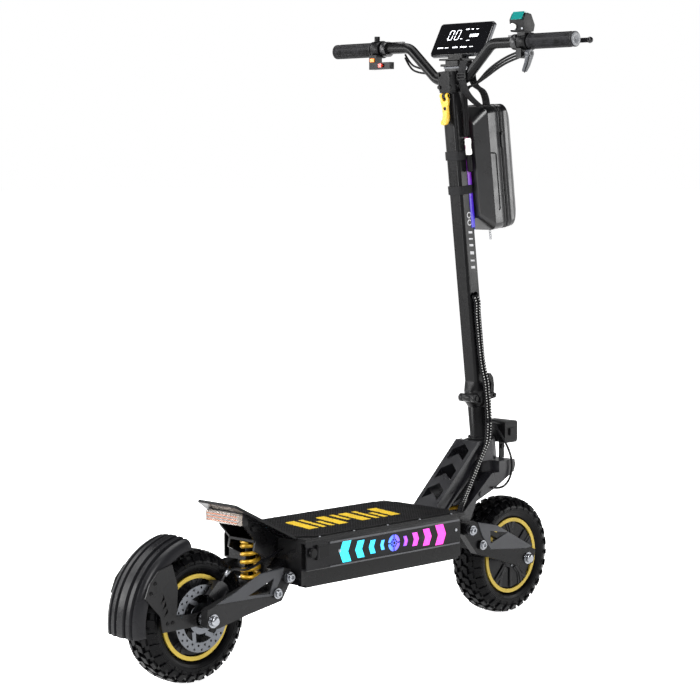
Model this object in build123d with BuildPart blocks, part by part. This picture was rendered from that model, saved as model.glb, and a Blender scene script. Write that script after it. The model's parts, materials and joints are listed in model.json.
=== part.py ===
from build123d import *
import math
import os

# Electric kick scooter with suspended wheels and a folding stem.
# Millimetres. X runs forward, Y to the rider's left, Z up from the ground.
# The origin is on the ground, midway between the fender's back and the front tyre's nose.

# Driving dimensions
tyre_radius = 130.0
tyre_width = 76.0
wheelbase = 926.0
fender_gap = 24.0            # from the tyre to the inside of the fender
fender_thick = 9.0           # fender shell with its ribs
rim_radius = 84.0
rotor_radius = 65.0
rotor_y = 46.0               # middle plane of each brake rotor
arm_gap = 124.0              # between the inner faces of a swing arm's two plates
arm_thick = 18.0
axle_radius = 12.0
pivot_radius = 8.0
deck_width = 240.0
deck_height = 91.0           # from the rails' underside to the tub's top edge
tub_wall = 3.0
panel_thick = 3.0
neck_width = 66.0
rake = 7.3                   # lean of the steering axis, in degrees
column_radius = 22.0
stem_side = 36.5             # square stem tube
stem_wall = 3.2
grip_height = 1244.5         # grip centres above the ground
bar_width = 682.0
bar_radius = 11.1
grip_length = 118.0
grip_radius = 15.8
display_width = 153.0
display_height = 82.0
bag_width = 105.0
bag_depth = 110.0
bag_height = 268.0
spring_radius = 21.0         # outside of a coil spring
spring_wire = 4.6            # radius of its wire
running = 0.05               # radial clearance of a part that turns on another
seat = 0.2                   # clearance between parts that are screwed together

# Places worked out from them
axle_z = tyre_radius
fender_inner = tyre_radius + fender_gap
fender_outer = fender_inner + fender_thick
rear_x = -(wheelbase + tyre_radius - fender_outer) / 2
front_x = rear_x + wheelbase
arm_inner = arm_gap / 2
arm_outer = arm_inner + arm_thick

rear_pivot = (rear_x + tyre_radius + 63, axle_z + 59)
rear_link = (rear_pivot[0] - 29, rear_pivot[1] - 29)
front_pivot = (front_x - tyre_radius - 65, axle_z + 86)
front_link = (front_pivot[0] + 39, front_pivot[1] - 37)

deck_rear = rear_pivot[0] + 15
deck_front = front_pivot[0] - 57
deck_length = deck_front - deck_rear
deck_bottom = axle_z + 41
deck_rim = deck_bottom + deck_height
lid_thick = 3.0
mat_thick = 2.6
deck_top = deck_rim + lid_thick
tub_half = deck_width / 2 - 15
stand_x = deck_rear + 96
stand_y = tub_half + 9
stand_z = deck_bottom + 9
stand_length = stand_z - 14
panel_half = deck_width / 2
panel_low = deck_bottom + 30
panel_high = deck_rim - 4
panel_rear = deck_rear
panel_front = deck_front - 19

neck_half = neck_width / 2
neck_top = deck_rim + 132
neck_low = neck_top - 44
fold_z = neck_top + 98       # plane where the stem parts from the column
tilt = math.radians(rake)
lean = math.tan(tilt)
steer_x = front_x - 73.6     # steering axis at the height of steer_z
steer_z = neck_top + 36
stem_top_z = grip_height - 92
head_radius = 32.0
steerer_radius = 16.0

along = Vector(-math.sin(tilt), 0, math.cos(tilt))
ahead = Vector(math.cos(tilt), 0, math.sin(tilt))


def axis_x(z):
    """X of the steering axis at a height."""
    return steer_x - lean * (z - steer_z)


def up_stem(z):
    """Distance along the stem from its fold plane to a height on its axis."""
    return (z - fold_z) / math.cos(tilt)


loom_radius = 4.5
hose_radius = 2.5
loom_shifts = (-8, 2)        # the two cable looms beside the stem, fore and aft
exit_at = up_stem(fold_z + 220)
stem_base = Vector(axis_x(fold_z), 0, fold_z)
stem_profile = Plane(origin=stem_base, x_dir=ahead, z_dir=(0, -1, 0))


def stem_cross(distance):
    """Plane square to the stem, its x forward and its y to the left."""
    return Plane(origin=stem_base + along * distance, x_dir=ahead, z_dir=along)


def stem_point(forward, y, distance):
    """A point given by its place in front of the stem's axis, sideways and along it."""
    spot = stem_base + ahead * forward + along * distance
    return (spot.X, y, spot.Z)


# Shapes that repeat
def slab(low, high, mode=Mode.ADD):
    """Adds or cuts the box between two corners."""
    with Locations(tuple((a + b) / 2 for a, b in zip(low, high))):
        Box(*[abs(b - a) for a, b in zip(low, high)], mode=mode)


def side_plate(points, y_a, y_b, mode=Mode.ADD, plane=Plane.XZ, corner=0.0):
    """Adds or cuts a plate with its outline seen from the side, between two values of Y."""
    y_low, y_high = sorted((y_a, y_b))
    with BuildSketch(plane.offset(-y_low)) as outline:
        with BuildLine():
            Polyline(*points, close=True)
        make_face()
        if corner:
            fillet(outline.vertices(), corner)
    extrude(outline.sketch, amount=y_low - y_high, mode=mode)


def flat_plate(points, z_low, z_high, mode=Mode.ADD):
    """Adds or cuts a plate with its outline seen from above, between two heights."""
    with BuildSketch(Plane.XY.offset(z_low)) as outline:
        with BuildLine():
            Polyline(*points, close=True)
        make_face()
    extrude(outline.sketch, amount=z_high - z_low, mode=mode)


def rod(start, end, radius, mode=Mode.ADD):
    """Adds or cuts a round bar from one point to another."""
    run = Vector(*end) - Vector(*start)
    with BuildSketch(Plane(origin=start, z_dir=run)) as section:
        Circle(radius)
    extrude(section.sketch, amount=run.length, mode=mode)


def cross_bar(spot, radius, y_a, y_b, mode=Mode.ADD):
    """Adds or cuts a round bar along Y at a place seen from the side."""
    y_low, y_high = sorted((y_a, y_b))
    rod((spot[0], y_low, spot[1]), (spot[0], y_high, spot[1]), radius, mode)


def bar_sleeve(y_a, y_b, radius, bore):
    """Adds a clamp ring on the handlebar's straight end, bored to sit on the tube."""
    cross_bar((bar_x, grip_height), radius, y_a, y_b)
    cross_bar((bar_x, grip_height), bore, y_a, y_b, Mode.SUBTRACT)


def cable(name, points, radius):
    """Adds a cable along straight runs joined by arcs as large as the runs allow."""
    spots = [Vector(*p) for p in points]
    radii = []
    for before, here, after in zip(spots, spots[1:], spots[2:]):
        turn = math.radians((here - before).get_angle(after - here))
        shorter = min((here - before).length, (after - here).length)
        radii.append(0.45 * shorter / math.tan(turn / 2))
    with BuildLine() as route:
        FilletPolyline(*points, radius=radii)
    with BuildSketch(Plane(origin=spots[0], z_dir=spots[1] - spots[0])) as section:
        Circle(radius)
    sweep(section.sketch, path=route.wire())
    length = route.wire().length
    print(name, "length", round(length), "volume", round(math.pi * radius**2 * length),
          "radii", [round(r) for r in radii])


def save(part, name):
    """Labels a finished piece and writes it."""
    part.label = name
    export_step(part, f"parts/{name}.step")


os.makedirs("parts", exist_ok=True)


# Wheels
def wheel_plane(x, angle=90.0):
    """Section plane through an axle: x along Y, y outwards at an angle above forward."""
    turn = math.radians(angle)
    z_dir = (math.sin(turn), 0, -math.cos(turn))
    return Plane(origin=(x, 0, axle_z), x_dir=(0, 1, 0), z_dir=z_dir)


def turned(x, section, angle=90.0, arc=360.0):
    """Turns a sketch made on a wheel's section plane about its axle."""
    revolve(section.sketch, axis=Axis((x, 0, axle_z), (0, 1, 0)), revolution_arc=arc)


def tyre(x):
    """Carcass with round shoulders, hollow and open to the rim."""
    half = tyre_width / 2
    outer = [(half - 12, rim_radius), (half - 5, rim_radius + 8), (half, tyre_radius - 22),
             (half - 2, tyre_radius - 8), (half - 10, tyre_radius)]
    inner = [(half - 16, tyre_radius - 8), (half - 8, tyre_radius - 14),
             (half - 7, tyre_radius - 22), (half - 11, rim_radius + 9), (half - 18, rim_radius)]
    half_ring = inner + outer
    other_half = [(-a, b) for a, b in reversed(half_ring)]
    with BuildPart() as made:
        with BuildSketch(wheel_plane(x)) as section:
            with BuildLine():
                Polyline(*half_ring, *other_half, close=True)
            make_face()
        turned(x, section)
    return made.part


def hub_motor(x, rotor_side):
    """Motor shell with its rim, side covers and ribs, hollow around the stator."""
    rim_half = tyre_width / 2 - 11.5
    outer = [(33, axle_radius), (33, 26), (28, 30), (28, rim_radius - 12),
             (rim_half, rim_radius - 9), (rim_half, rim_radius - seat)]
    inner = [(22, rim_radius - 8), (22, axle_radius)]
    left = [(-a, b) for a, b in reversed(outer)]
    cavity = [(-a, b) for a, b in reversed(inner)]
    with BuildPart() as made:
        with BuildSketch(wheel_plane(x)) as section:
            with BuildLine():
                Polyline(*outer, *left, *cavity, *inner, close=True)
            make_face()
        turned(x, section)
        far = -rotor_side
        with BuildSketch(Plane.XZ.offset(-far * 27.5)) as ribs:
            with Locations((x, axle_z)):
                with PolarLocations(49, 8):
                    Rectangle(44, 6)
        extrude(ribs.sketch, amount=-far * 3.5)
    return made.part


def trim_rings(x):
    """Coloured ring on each side of the rim."""
    rim_half = tyre_width / 2 - 11.5
    with BuildPart() as made:
        for side in (-1, 1):
            with BuildSketch(wheel_plane(x)) as section:
                with Locations((side * (rim_half + 2.5), rim_radius - 4.7)):
                    Rectangle(5, 8.4)
            turned(x, section)
    return made.part


def rotor(x, side):
    """Drilled brake rotor on its carrier, bolted to the hub."""
    with BuildPart() as made:
        with BuildSketch(Plane.XZ.offset(-side * rotor_y + side)) as disc:
            with Locations((x, axle_z)):
                Circle(rotor_radius)
                Circle(rotor_radius - 19, mode=Mode.SUBTRACT)
                Circle(30)
                with PolarLocations(38, 6):
                    Rectangle(20, 9, rotation=35)
                with PolarLocations(rotor_radius - 5, 20):
                    Circle(2.2, mode=Mode.SUBTRACT)
                with PolarLocations(rotor_radius - 13, 20, start_angle=9):
                    Circle(2.2, mode=Mode.SUBTRACT)
        extrude(disc.sketch, amount=-2 * side)
        cross_bar((x, axle_z), 28, side * 33, side * (rotor_y - 0.5))
        cross_bar((x, axle_z), axle_radius + 2, side * 33, side * (rotor_y + 1), Mode.SUBTRACT)
    return made.part


def axle(x):
    """Axle with dome nuts outside the arms, and the stator that it carries."""
    with BuildPart() as made:
        cross_bar((x, axle_z), axle_radius - running, -arm_inner, arm_inner)
        cross_bar((x, axle_z), 7, -arm_outer, arm_outer)
        for side in (-1, 1):
            cross_bar((x, axle_z), 13, side * arm_outer, side * (arm_outer + 2))
            cross_bar((x, axle_z), 9.5, side * (arm_outer + 2), side * (arm_outer + 11))
            fillet(made.edges().sort_by(Axis.Y)[0 if side < 0 else -1], 5)
        cross_bar((x, axle_z), 70, -19, 19)
        with BuildSketch(Plane.XZ.offset(19)) as slots:
            with Locations((x, axle_z)):
                with PolarLocations(60, 18):
                    Rectangle(22, 6)
        extrude(slots.sketch, amount=-38, mode=Mode.SUBTRACT)
    return made.part


def caliper(x, side, angle):
    """Brake caliper over the rotor's edge, on a lug that meets the arm."""
    with BuildPart() as made:
        plane = Plane(origin=(x, 0, axle_z), x_dir=(math.cos(angle), 0, math.sin(angle)),
                      z_dir=(0, -1, 0))
        inner, outer = 35.0, 59.0
        body = [(41, -22), (41, 22), (74, 17), (80, 8), (80, -8), (74, -17)]
        side_plate(body, side * inner, side * outer, plane=plane)
        slot = [(30, -30), (30, 30), (rotor_radius + 2, 30), (rotor_radius + 2, -30)]
        side_plate(slot, side * (rotor_y - 3), side * (rotor_y + 3), Mode.SUBTRACT, plane)
        lug = [(44, -26), (44, -12), (70, -12), (70, -26)]
        side_plate(lug, side * (outer - 8), side * (arm_inner - seat), plane=plane)
    return made.part


for end, x, rotor_side in (("rear", rear_x, -1), ("front", front_x, 1)):
    save(tyre(x), f"{end}_tyre")
    save(hub_motor(x, rotor_side), f"{end}_hub_motor")
    save(trim_rings(x), f"{end}_trim_rings")
    save(rotor(x, rotor_side), f"{end}_rotor")
    save(axle(x), f"{end}_axle")

save(caliper(front_x, 1, math.radians(150)), "front_caliper")


# Swing arms
def swing_arm(x, pivot, link, outline, window):
    """Two windowed plates on the axle, joined by the member that carries the spring."""
    heading = 1 if pivot[0] > x else -1
    with BuildPart() as made:
        for side in (-1, 1):
            side_plate(outline, side * arm_inner, side * arm_outer, corner=5)
            cross_bar(link, 13, side * arm_inner, side * arm_outer)
            side_plate(window, side * arm_inner, side * arm_outer, Mode.SUBTRACT)
            cross_bar(link, 9, side * arm_outer, side * (arm_outer + 5))
        low, high = sorted((link[0] - heading * 14, link[0] + heading * 12))
        slab((low, -arm_inner, link[1] - 11), (high, arm_inner, link[1] + 12))
        rod((link[0] + heading * 6, 0, link[1] + 10), (link[0] + heading * 6, 0, link[1] + 18),
            spring_radius + 3)
        cross_bar(pivot, pivot_radius + running, -arm_outer, arm_outer, Mode.SUBTRACT)
        cross_bar((x, axle_z), 7 + running, -arm_outer, arm_outer, Mode.SUBTRACT)
    return made.part


def from_axle(x, offsets):
    """Outline given by its distances from an axle."""
    return [(x + a, axle_z + b) for a, b in offsets]


px, pz = rear_pivot
rear_outline = [(rear_x - 16, axle_z - 12), (rear_x - 14, axle_z + 22), (rear_x + 110, axle_z + 59),
                (px - 8, pz + 19), (px + 11, pz + 13), (px + 13, pz - 7),
                (px - 14, pz - 46), (rear_x + 86, axle_z - 2), (rear_x + 12, axle_z - 17)]
rear_window = [(rear_x + 92, axle_z + 35), (px - 31, pz + 4), (px - 40, pz - 24)]
save(swing_arm(rear_x, rear_pivot, rear_link, rear_outline, rear_window), "rear_swingarm")

px, pz = front_pivot
front_outline = [(front_x + 18, axle_z - 13), (front_x + 27, axle_z + 16), (px + 118, pz - 30),
                 (px + 18, pz + 16), (px - 10, pz + 14), (px - 16, pz - 8),
                 (px + 26, pz - 56), (px + 60, pz - 66), (front_x - 18, axle_z - 17)]
front_window = [(px + 40, pz - 5), (px + 118, pz - 42), (px + 66, pz - 34)]
save(swing_arm(front_x, front_pivot, front_link, front_outline, front_window), "front_swingarm")


def coil_spring(x, z_low, z_high):
    """Coil spring standing between two seats."""
    turns = 4.5
    height = z_high - z_low - 2 * spring_wire - 2 * seat
    start = (x, 0, z_low + spring_wire + seat)
    with BuildPart() as made:
        with BuildLine() as coil:
            Helix(pitch=height / turns, height=height, radius=spring_radius - spring_wire,
                  center=start)
        wire = coil.wire()
        with BuildSketch(Plane(origin=wire @ 0, z_dir=wire % 0)) as section:
            Circle(spring_wire)
        sweep(section.sketch, path=wire, is_frenet=True)
    return made.part


rear_seat_x = rear_link[0] + 6
front_seat_x = front_link[0] - 6
rear_seat_z = rear_link[1] + 18
front_seat_z = front_link[1] + 18
rear_perch_z = deck_rim - 6
front_perch_z = front_pivot[1] + 46
save(coil_spring(rear_seat_x, rear_seat_z, rear_perch_z), "rear_spring")
save(coil_spring(front_seat_x, front_seat_z, front_perch_z), "front_spring")

# Rear fender
fender_half = tyre_width / 2 + 10
fender_from, fender_to = 100.0, 187.0
with BuildPart() as rear_fender:
    with BuildSketch(wheel_plane(rear_x, fender_to)) as section:
        with BuildLine():
            flange = fender_inner - 10
            Polyline((-fender_half, flange), (-fender_half, fender_outer - 5),
                     (-fender_half + 5, fender_outer - 2.5), (fender_half - 5, fender_outer - 2.5),
                     (fender_half, fender_outer - 5), (fender_half, flange),
                     (fender_half - 3, flange), (fender_half - 3, fender_inner),
                     (-fender_half + 3, fender_inner), (-fender_half + 3, flange), close=True)
        make_face()
        with Locations(*[(0.36 * fender_half * k, fender_outer - 2.5) for k in (-2, -1, 0, 1, 2)]):
            Rectangle(7, 5)
    turned(rear_x, section, arc=fender_to - fender_from)
    for side in (-1, 1):
        near = side * (fender_half + seat)
        far = side * (fender_half + 3.5)
        bracket = from_axle(rear_x, [(-146, 92), (-72, 116), (-62, 70), (-66, 15), (-12, 14),
                                     (-12, -12), (-100, -12), (-106, 20), (-152, 62)])
        side_plate(bracket, near, far, corner=4)
        cross_bar((rear_x, axle_z), 18, near, far)
        cross_bar((rear_x, axle_z), axle_radius, near, far, Mode.SUBTRACT)
        for a, b in ((-128, 86), (-140, 70), (-88, 4), (-76, 4)):
            cross_bar((rear_x + a, axle_z + b), 4, far, far + side * 2.5)
save(rear_fender.part, "rear_fender")

# Chassis tub and deck
with BuildPart() as chassis_tub:
    slab((deck_rear, -tub_half, deck_bottom), (deck_front, tub_half, deck_rim))
    slab((deck_rear + 4, -tub_half + tub_wall, deck_bottom + 4),
         (deck_front - 4, tub_half - tub_wall, deck_rim), Mode.SUBTRACT)
    for side in (-1, 1):
        slab_y = sorted((side * (tub_half - 0.5), side * (panel_half - 3)))
        slab((deck_rear, slab_y[0], deck_rim - 4), (deck_front, slab_y[1], deck_rim))
        rail_y = sorted((side * (tub_half - 22), side * tub_half))
        slab((deck_rear + 12, rail_y[0], deck_bottom - 5), (deck_front - 6, rail_y[1], deck_bottom))
        lug = [(rear_pivot[0] - 14, rear_pivot[1] - 6), (rear_pivot[0] - 10, rear_pivot[1] + 12),
               (rear_pivot[0], rear_pivot[1] + 16), (deck_rear + 1, rear_pivot[1] + 30),
               (deck_rear + 1, rear_pivot[1] - 17), (rear_pivot[0] - 6, rear_pivot[1] - 15)]
        side_plate(lug, side * 30, side * (arm_inner - seat))
    cross_bar(rear_pivot, pivot_radius + running, -arm_inner, arm_inner, Mode.SUBTRACT)
    rod((stand_x, tub_half - 1, stand_z), (stand_x, stand_y + 7, stand_z), 4)
    rod((stand_x, tub_half - 1, stand_z), (stand_x, stand_y - 5.2, stand_z), 9)
save(chassis_tub.part, "chassis_tub")

with BuildPart() as deck_lid:
    slab((deck_rear, -panel_half + 3, deck_rim), (deck_front, panel_half - 3, deck_top))
save(deck_lid.part, "deck_lid")

mat_half = panel_half - 9
with BuildPart() as deck_mat:
    mat_rear, mat_front = deck_rear + 3, deck_front - 6
    flat_plate([(mat_rear, -mat_half + 20), (mat_rear + 30, -mat_half), (mat_front - 34, -mat_half),
                (mat_front, -mat_half + 34), (mat_front, mat_half - 34),
                (mat_front - 34, mat_half), (mat_rear + 30, mat_half),
                (mat_rear, mat_half - 20)], deck_top, deck_top + mat_thick)
save(deck_mat.part, "deck_mat")

# Side panels: channels with chevron windows that the light bars' lenses fill
panel_mid_x = (panel_rear + panel_front) / 2 + 24
panel_mid_z = (panel_low + panel_high) / 2 - 2


def window_sketch(grow, y):
    """Sketch of the light windows on a plane at a value of Y."""
    with BuildSketch(Plane.XZ.offset(-y)) as made:
        with Locations((panel_mid_x, panel_mid_z)):
            Circle(17 + grow)
            Circle(9 - grow, mode=Mode.SUBTRACT)
            Rectangle(3 - 2 * grow, 40, mode=Mode.SUBTRACT)
            Rectangle(40, 3 - 2 * grow, mode=Mode.SUBTRACT)
        for way in (-1, 1):
            for k in range(4):
                arm = 10 + 3.65 * k + grow
                half = 6.7 + 3.3 * k
                x = panel_mid_x + way * (34 + 27 * k + 2.8 * k * k)
                bend = 0.55 * half
                notch = x - way * half + way * bend
                with BuildLine():
                    Polyline((x - way * (half + grow), panel_mid_z + arm),
                             (x + way * (half - bend + grow), panel_mid_z + arm),
                             (x + way * (half + grow), panel_mid_z),
                             (x + way * (half - bend + grow), panel_mid_z - arm),
                             (x - way * (half + grow), panel_mid_z - arm),
                             (notch - way * grow, panel_mid_z), close=True)
                make_face()
    return made.sketch


port_x = panel_rear + 40
port_z = panel_low + 36
with BuildPart() as side_panels:
    for side in (-1, 1):
        inner = tub_half + seat
        with BuildSketch(Plane.YZ.offset(panel_rear)) as channel:
            with BuildLine():
                Polyline((side * inner, panel_low), (side * (panel_half - 2), panel_low),
                         (side * panel_half, panel_low + 2), (side * panel_half, panel_high - 10),
                         (side * (panel_half - 4), panel_high), (side * inner, panel_high),
                         (side * inner, panel_high - 3), (side * (panel_half - 6), panel_high - 3),
                         (side * (panel_half - panel_thick), panel_high - 11),
                         (side * (panel_half - panel_thick), panel_low + 3),
                         (side * inner, panel_low + 3), close=True)
            make_face()
        extrude(channel.sketch, amount=panel_front - panel_rear)
        windows = window_sketch(0.1, side * panel_half)
        extrude(windows, amount=side * 2 * panel_thick, mode=Mode.SUBTRACT)
    rod((port_x, -panel_half - 1, port_z), (port_x, -panel_half + panel_thick + 1, port_z),
        8 + seat, Mode.SUBTRACT)
save(side_panels.part, "side_panels")

with BuildPart() as side_light_bars:
    for side in (-1, 1):
        back = sorted((side * (panel_half - panel_thick - 5), side * (panel_half - panel_thick - 0.1)))
        slab((panel_mid_x - 168, back[0], panel_mid_z - 18.5),
             (panel_mid_x + 168, back[1], panel_mid_z + 18.5))
        windows = window_sketch(0, side * (panel_half - 0.3))
        extrude(windows, amount=side * (panel_thick + 1))
save(side_light_bars.part, "side_light_bars")

with BuildPart() as battery_pack:
    slab((deck_rear + 92, -tub_half + 12, deck_bottom + 4.2),
         (deck_front - 86, tub_half - 12, deck_rim - 9))
save(battery_pack.part, "battery_pack")

with BuildPart() as motor_controllers:
    for start in (deck_rear + 14, deck_front - 78):
        slab((start, -50, deck_bottom + 4.2), (start + 64, 50, deck_bottom + 44))
        for k in range(8):
            slab((start + 4 + 7.4 * k, -50, deck_bottom + 44), (start + 8 + 7.4 * k, 50,
                                                                deck_bottom + 52))
save(motor_controllers.part, "motor_controllers")

# The flap turns about a vertical pin between its boss and the socket
flap_x = port_x - 14.1
flap_y = -panel_half - 4.6
with BuildPart() as charge_socket:
    rod((port_x, -panel_half + 11, port_z), (port_x, -panel_half - 0.5, port_z), 8)
    rod((port_x, -panel_half - 0.2, port_z), (port_x, -panel_half - 2.2, port_z), 11)
    rod((port_x, -panel_half - 2.2, port_z), (port_x, -panel_half + 8, port_z), 4, Mode.SUBTRACT)
    hinge_x = port_x - 27
    rod((hinge_x, -panel_half - 0.2, port_z), (hinge_x, -panel_half - 7, port_z), 9.5)
    rod((hinge_x, -panel_half - 7, port_z), (hinge_x, -panel_half - 8, port_z), 7.5)
    for low in (port_z - 15, port_z + 12.3):
        slab((flap_x - 2.6, flap_y, low), (flap_x + 2.6, -panel_half - 0.2, low + 2.7))
    rod((flap_x, flap_y, port_z - 15), (flap_x, flap_y, port_z + 15), 1.2)
save(charge_socket.part, "charge_socket")

with BuildPart() as port_cover:
    rod((flap_x, flap_y, port_z - 12), (flap_x, flap_y, port_z + 12), 2.6)
    slab((flap_x, flap_y - 1.2, port_z - 12), (flap_x + 31, flap_y + 1.2, port_z + 12))
    rod((flap_x, flap_y, port_z - 13), (flap_x, flap_y, port_z + 13), 1.2 + running, Mode.SUBTRACT)
save(port_cover.part, "port_cover")

with BuildPart() as kick_plate:
    rise_x, rise_z = deck_rear - 126, deck_top + 72
    top = [(rise_x - 2, rise_z - 3), (rise_x + 1, rise_z + 2), (deck_rear, deck_top),
           (deck_rear, deck_rim - 2)]
    side_plate(top, -panel_half + 25, panel_half - 25)
    for side in (-1, 1):
        flat_plate([(rise_x - 10, side * 54), (rise_x, side * 54), (deck_rear + 1, side * 97),
                    (deck_rear + 1, side * 130), (rise_x - 10, side * 130)],
                   deck_rim - 20, rise_z + 20, Mode.SUBTRACT)
        gusset = [(rise_x + 20, rise_z - 16), (rise_x + 42, rise_z - 52), (rise_x + 66, rise_z - 78),
                  (rear_seat_x - 26, deck_rim - 22), (deck_rear - 26, deck_rim - 41),
                  (deck_rear, deck_rim - 41), (deck_rear, deck_rim - 1)]
        side_plate(gusset, side * 34, side * 39)
    slab((rear_seat_x - 24, -36, rear_perch_z), (deck_rear, 36, rear_perch_z + 5))
    lamp_x = rise_x + 22
    slab((lamp_x, -50, rise_z - 42), (lamp_x + 14, 50, rise_z - 16))
    for side in (-1, 1):
        rod((rise_x + 60, side * 39, rise_z - 52), (rise_x + 60, side * 43, rise_z - 52), 6)
save(kick_plate.part, "kick_plate")

with BuildPart() as tail_light_lens:
    slab((lamp_x - 9, -49, rise_z - 41), (lamp_x - seat, 49, rise_z - 19))
    fillet(tail_light_lens.edges().group_by(Axis.X)[0], 3)
save(tail_light_lens.part, "tail_light_lens")

with BuildPart() as chassis_bolts:
    for side in (-1, 1):
        cross_bar(rear_pivot, pivot_radius, side * 28, side * (arm_outer + 1))
        cross_bar(rear_pivot, 11, side * (arm_outer + 0.3), side * (arm_outer + 7))
    screw_pitch = (deck_length - 80) / 4
    for side in (-1, 1):
        for k in range(5):
            x = deck_rear + 40 + screw_pitch * k
            y = side * (panel_half - 5.2)
            rod((x, y, deck_top), (x, y, deck_top + 1.6), 2.1)
        for x in (panel_rear + 90, panel_front - 12):
            y = side * panel_half
            rod((x, y, panel_mid_z + 4), (x, y + side * 1.2, panel_mid_z + 4), 3.2)
save(chassis_bolts.part, "chassis_bolts")

# Neck and head tube
shoulder_x = axis_x(neck_top) - 44
neck_shape = [(deck_front, deck_rim - 26), (deck_front, deck_rim), (deck_front + 3, deck_top),
              (shoulder_x, neck_top), (axis_x(neck_top), neck_top), (axis_x(neck_low), neck_low),
              (axis_x(neck_low) - 36, neck_low), (deck_front + 18, deck_rim - 26)]
slope = math.atan2(neck_top - deck_top, shoulder_x - deck_front - 3)
slope_dir = Vector(math.cos(slope), 0, math.sin(slope))
slope_plane = Plane(origin=(deck_front + 3, 0, deck_top), x_dir=slope_dir,
                    z_dir=(-math.sin(slope), 0, math.cos(slope)))
slope_length = math.hypot(neck_top - deck_top, shoulder_x - deck_front - 3)
with BuildPart() as neck_frame:
    side_plate(neck_shape, -neck_half, neck_half)
    with BuildSketch(slope_plane.offset(1)) as windows:
        for k in range(3):
            start = slope_length * (0.1 + 0.3 * k)
            run = slope_length * 0.245
            half = 23.0
            with BuildLine():
                Polyline((start, -half), (start + run * 0.62, -half), (start + run, 0),
                         (start + run * 0.62, half), (start, half), (start + run * 0.38, 0),
                         close=True)
            make_face()
    extrude(windows.sketch, amount=-90, mode=Mode.SUBTRACT)
    recess = [(deck_front + 12, deck_rim - 16), (deck_front + 12, deck_top - 2),
              (shoulder_x + 2, neck_top - 10), (axis_x(neck_top) - 36, neck_top - 10),
              (axis_x(neck_low) - 44, neck_low + 8), (deck_front + 26, deck_rim - 16)]
    for side in (-1, 1):
        side_plate(recess, side * (neck_half - 4), side * (neck_half + 1), Mode.SUBTRACT)
    low_plane = stem_cross(up_stem(neck_low))
    height = up_stem(neck_top) - up_stem(neck_low)
    with BuildSketch(low_plane) as head:
        Circle(head_radius)
    extrude(head.sketch, amount=height)
    with BuildSketch(low_plane.offset(-2)) as bore:
        Circle(24)
    extrude(bore.sketch, amount=height + 4, mode=Mode.SUBTRACT)
    with BuildSketch(low_plane.offset(height)) as recess_top:
        Circle(head_radius + 8)
    extrude(recess_top.sketch, amount=12, mode=Mode.SUBTRACT)
save(neck_frame.part, "neck_frame")

with BuildPart() as head_bearings:
    for start in (up_stem(neck_low), up_stem(neck_top) - 11):
        with BuildSketch(stem_cross(start)) as ring:
            Circle(24 - 0.02)
            Circle(steerer_radius, mode=Mode.SUBTRACT)
        extrude(ring.sketch, amount=11)
save(head_bearings.part, "head_bearings")

# Fork, column and fold base
crown_low = neck_low - 60
px, pz = front_pivot
with BuildPart() as fork:
    ax = axis_x(neck_low)
    profile = [(ax, neck_low - 2), (ax + 52, neck_low - 2), (ax + 55, neck_low - 14),
               (ax + 50, neck_low - 28), (ax - 14, crown_low), (px + 58, pz + 52),
               (px + 38, pz + 14), (px + 16, pz - 10), (px + 4, pz - 16), (px - 13, pz - 9),
               (px - 15, pz + 4), (px + 2, pz + 22), (ax - 24, neck_low - 26), (ax, neck_low - 26)]
    side_plate(profile, -50, 50)
    gap = [(px - 30, pz - 40), (px - 30, pz + 60), (px + 20, pz + 60 - 4), (px + 70, pz + 56),
           (px + 70, pz - 40)]
    side_plate(gap, -38, 38, Mode.SUBTRACT)
    side_plate([(px + 4, front_perch_z), (px + 4, front_perch_z + 4), (px + 44, front_perch_z + 20),
                (px + 74, front_perch_z + 34), (px + 74, front_perch_z)], -30, 30)
    with BuildSketch(stem_cross(up_stem(neck_low) - 30)) as boss:
        Circle(30)
    extrude(boss.sketch, amount=29)
    with BuildSketch(stem_cross(up_stem(neck_low) - 45)) as bore:
        Circle(steerer_radius)
    extrude(bore.sketch, amount=60, mode=Mode.SUBTRACT)
    for side in (-1, 1):
        cross_bar(front_pivot, 15, side * 49, side * (arm_inner - seat))
        cross_bar((px + 72, pz + 66), 6, side * 50, side * 53)
    cross_bar(front_pivot, pivot_radius + running, -arm_inner, arm_inner, Mode.SUBTRACT)
    cross_bar(front_pivot, pivot_radius, -arm_outer - 1, arm_outer + 1)
    for side in (-1, 1):
        cross_bar(front_pivot, 11, side * (arm_outer + 0.3), side * (arm_outer + 7))
save(fork.part, "fork")

with BuildPart() as steerer_tube:
    with BuildSketch(stem_cross(up_stem(neck_low) - 44)) as tube:
        Circle(steerer_radius - running)
    extrude(tube.sketch, amount=up_stem(neck_top) + 1 - up_stem(neck_low) + 44)
    with BuildSketch(stem_cross(up_stem(neck_top) + 0.6)) as column:
        Circle(column_radius)
    extrude(column.sketch, amount=-up_stem(neck_top) - 0.6 - 24)
    with BuildSketch(stem_cross(up_stem(neck_top) + 0.6)) as collar:
        Circle(column_radius + 5)
    extrude(collar.sketch, amount=7)
save(steerer_tube.part, "steerer_tube")

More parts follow.
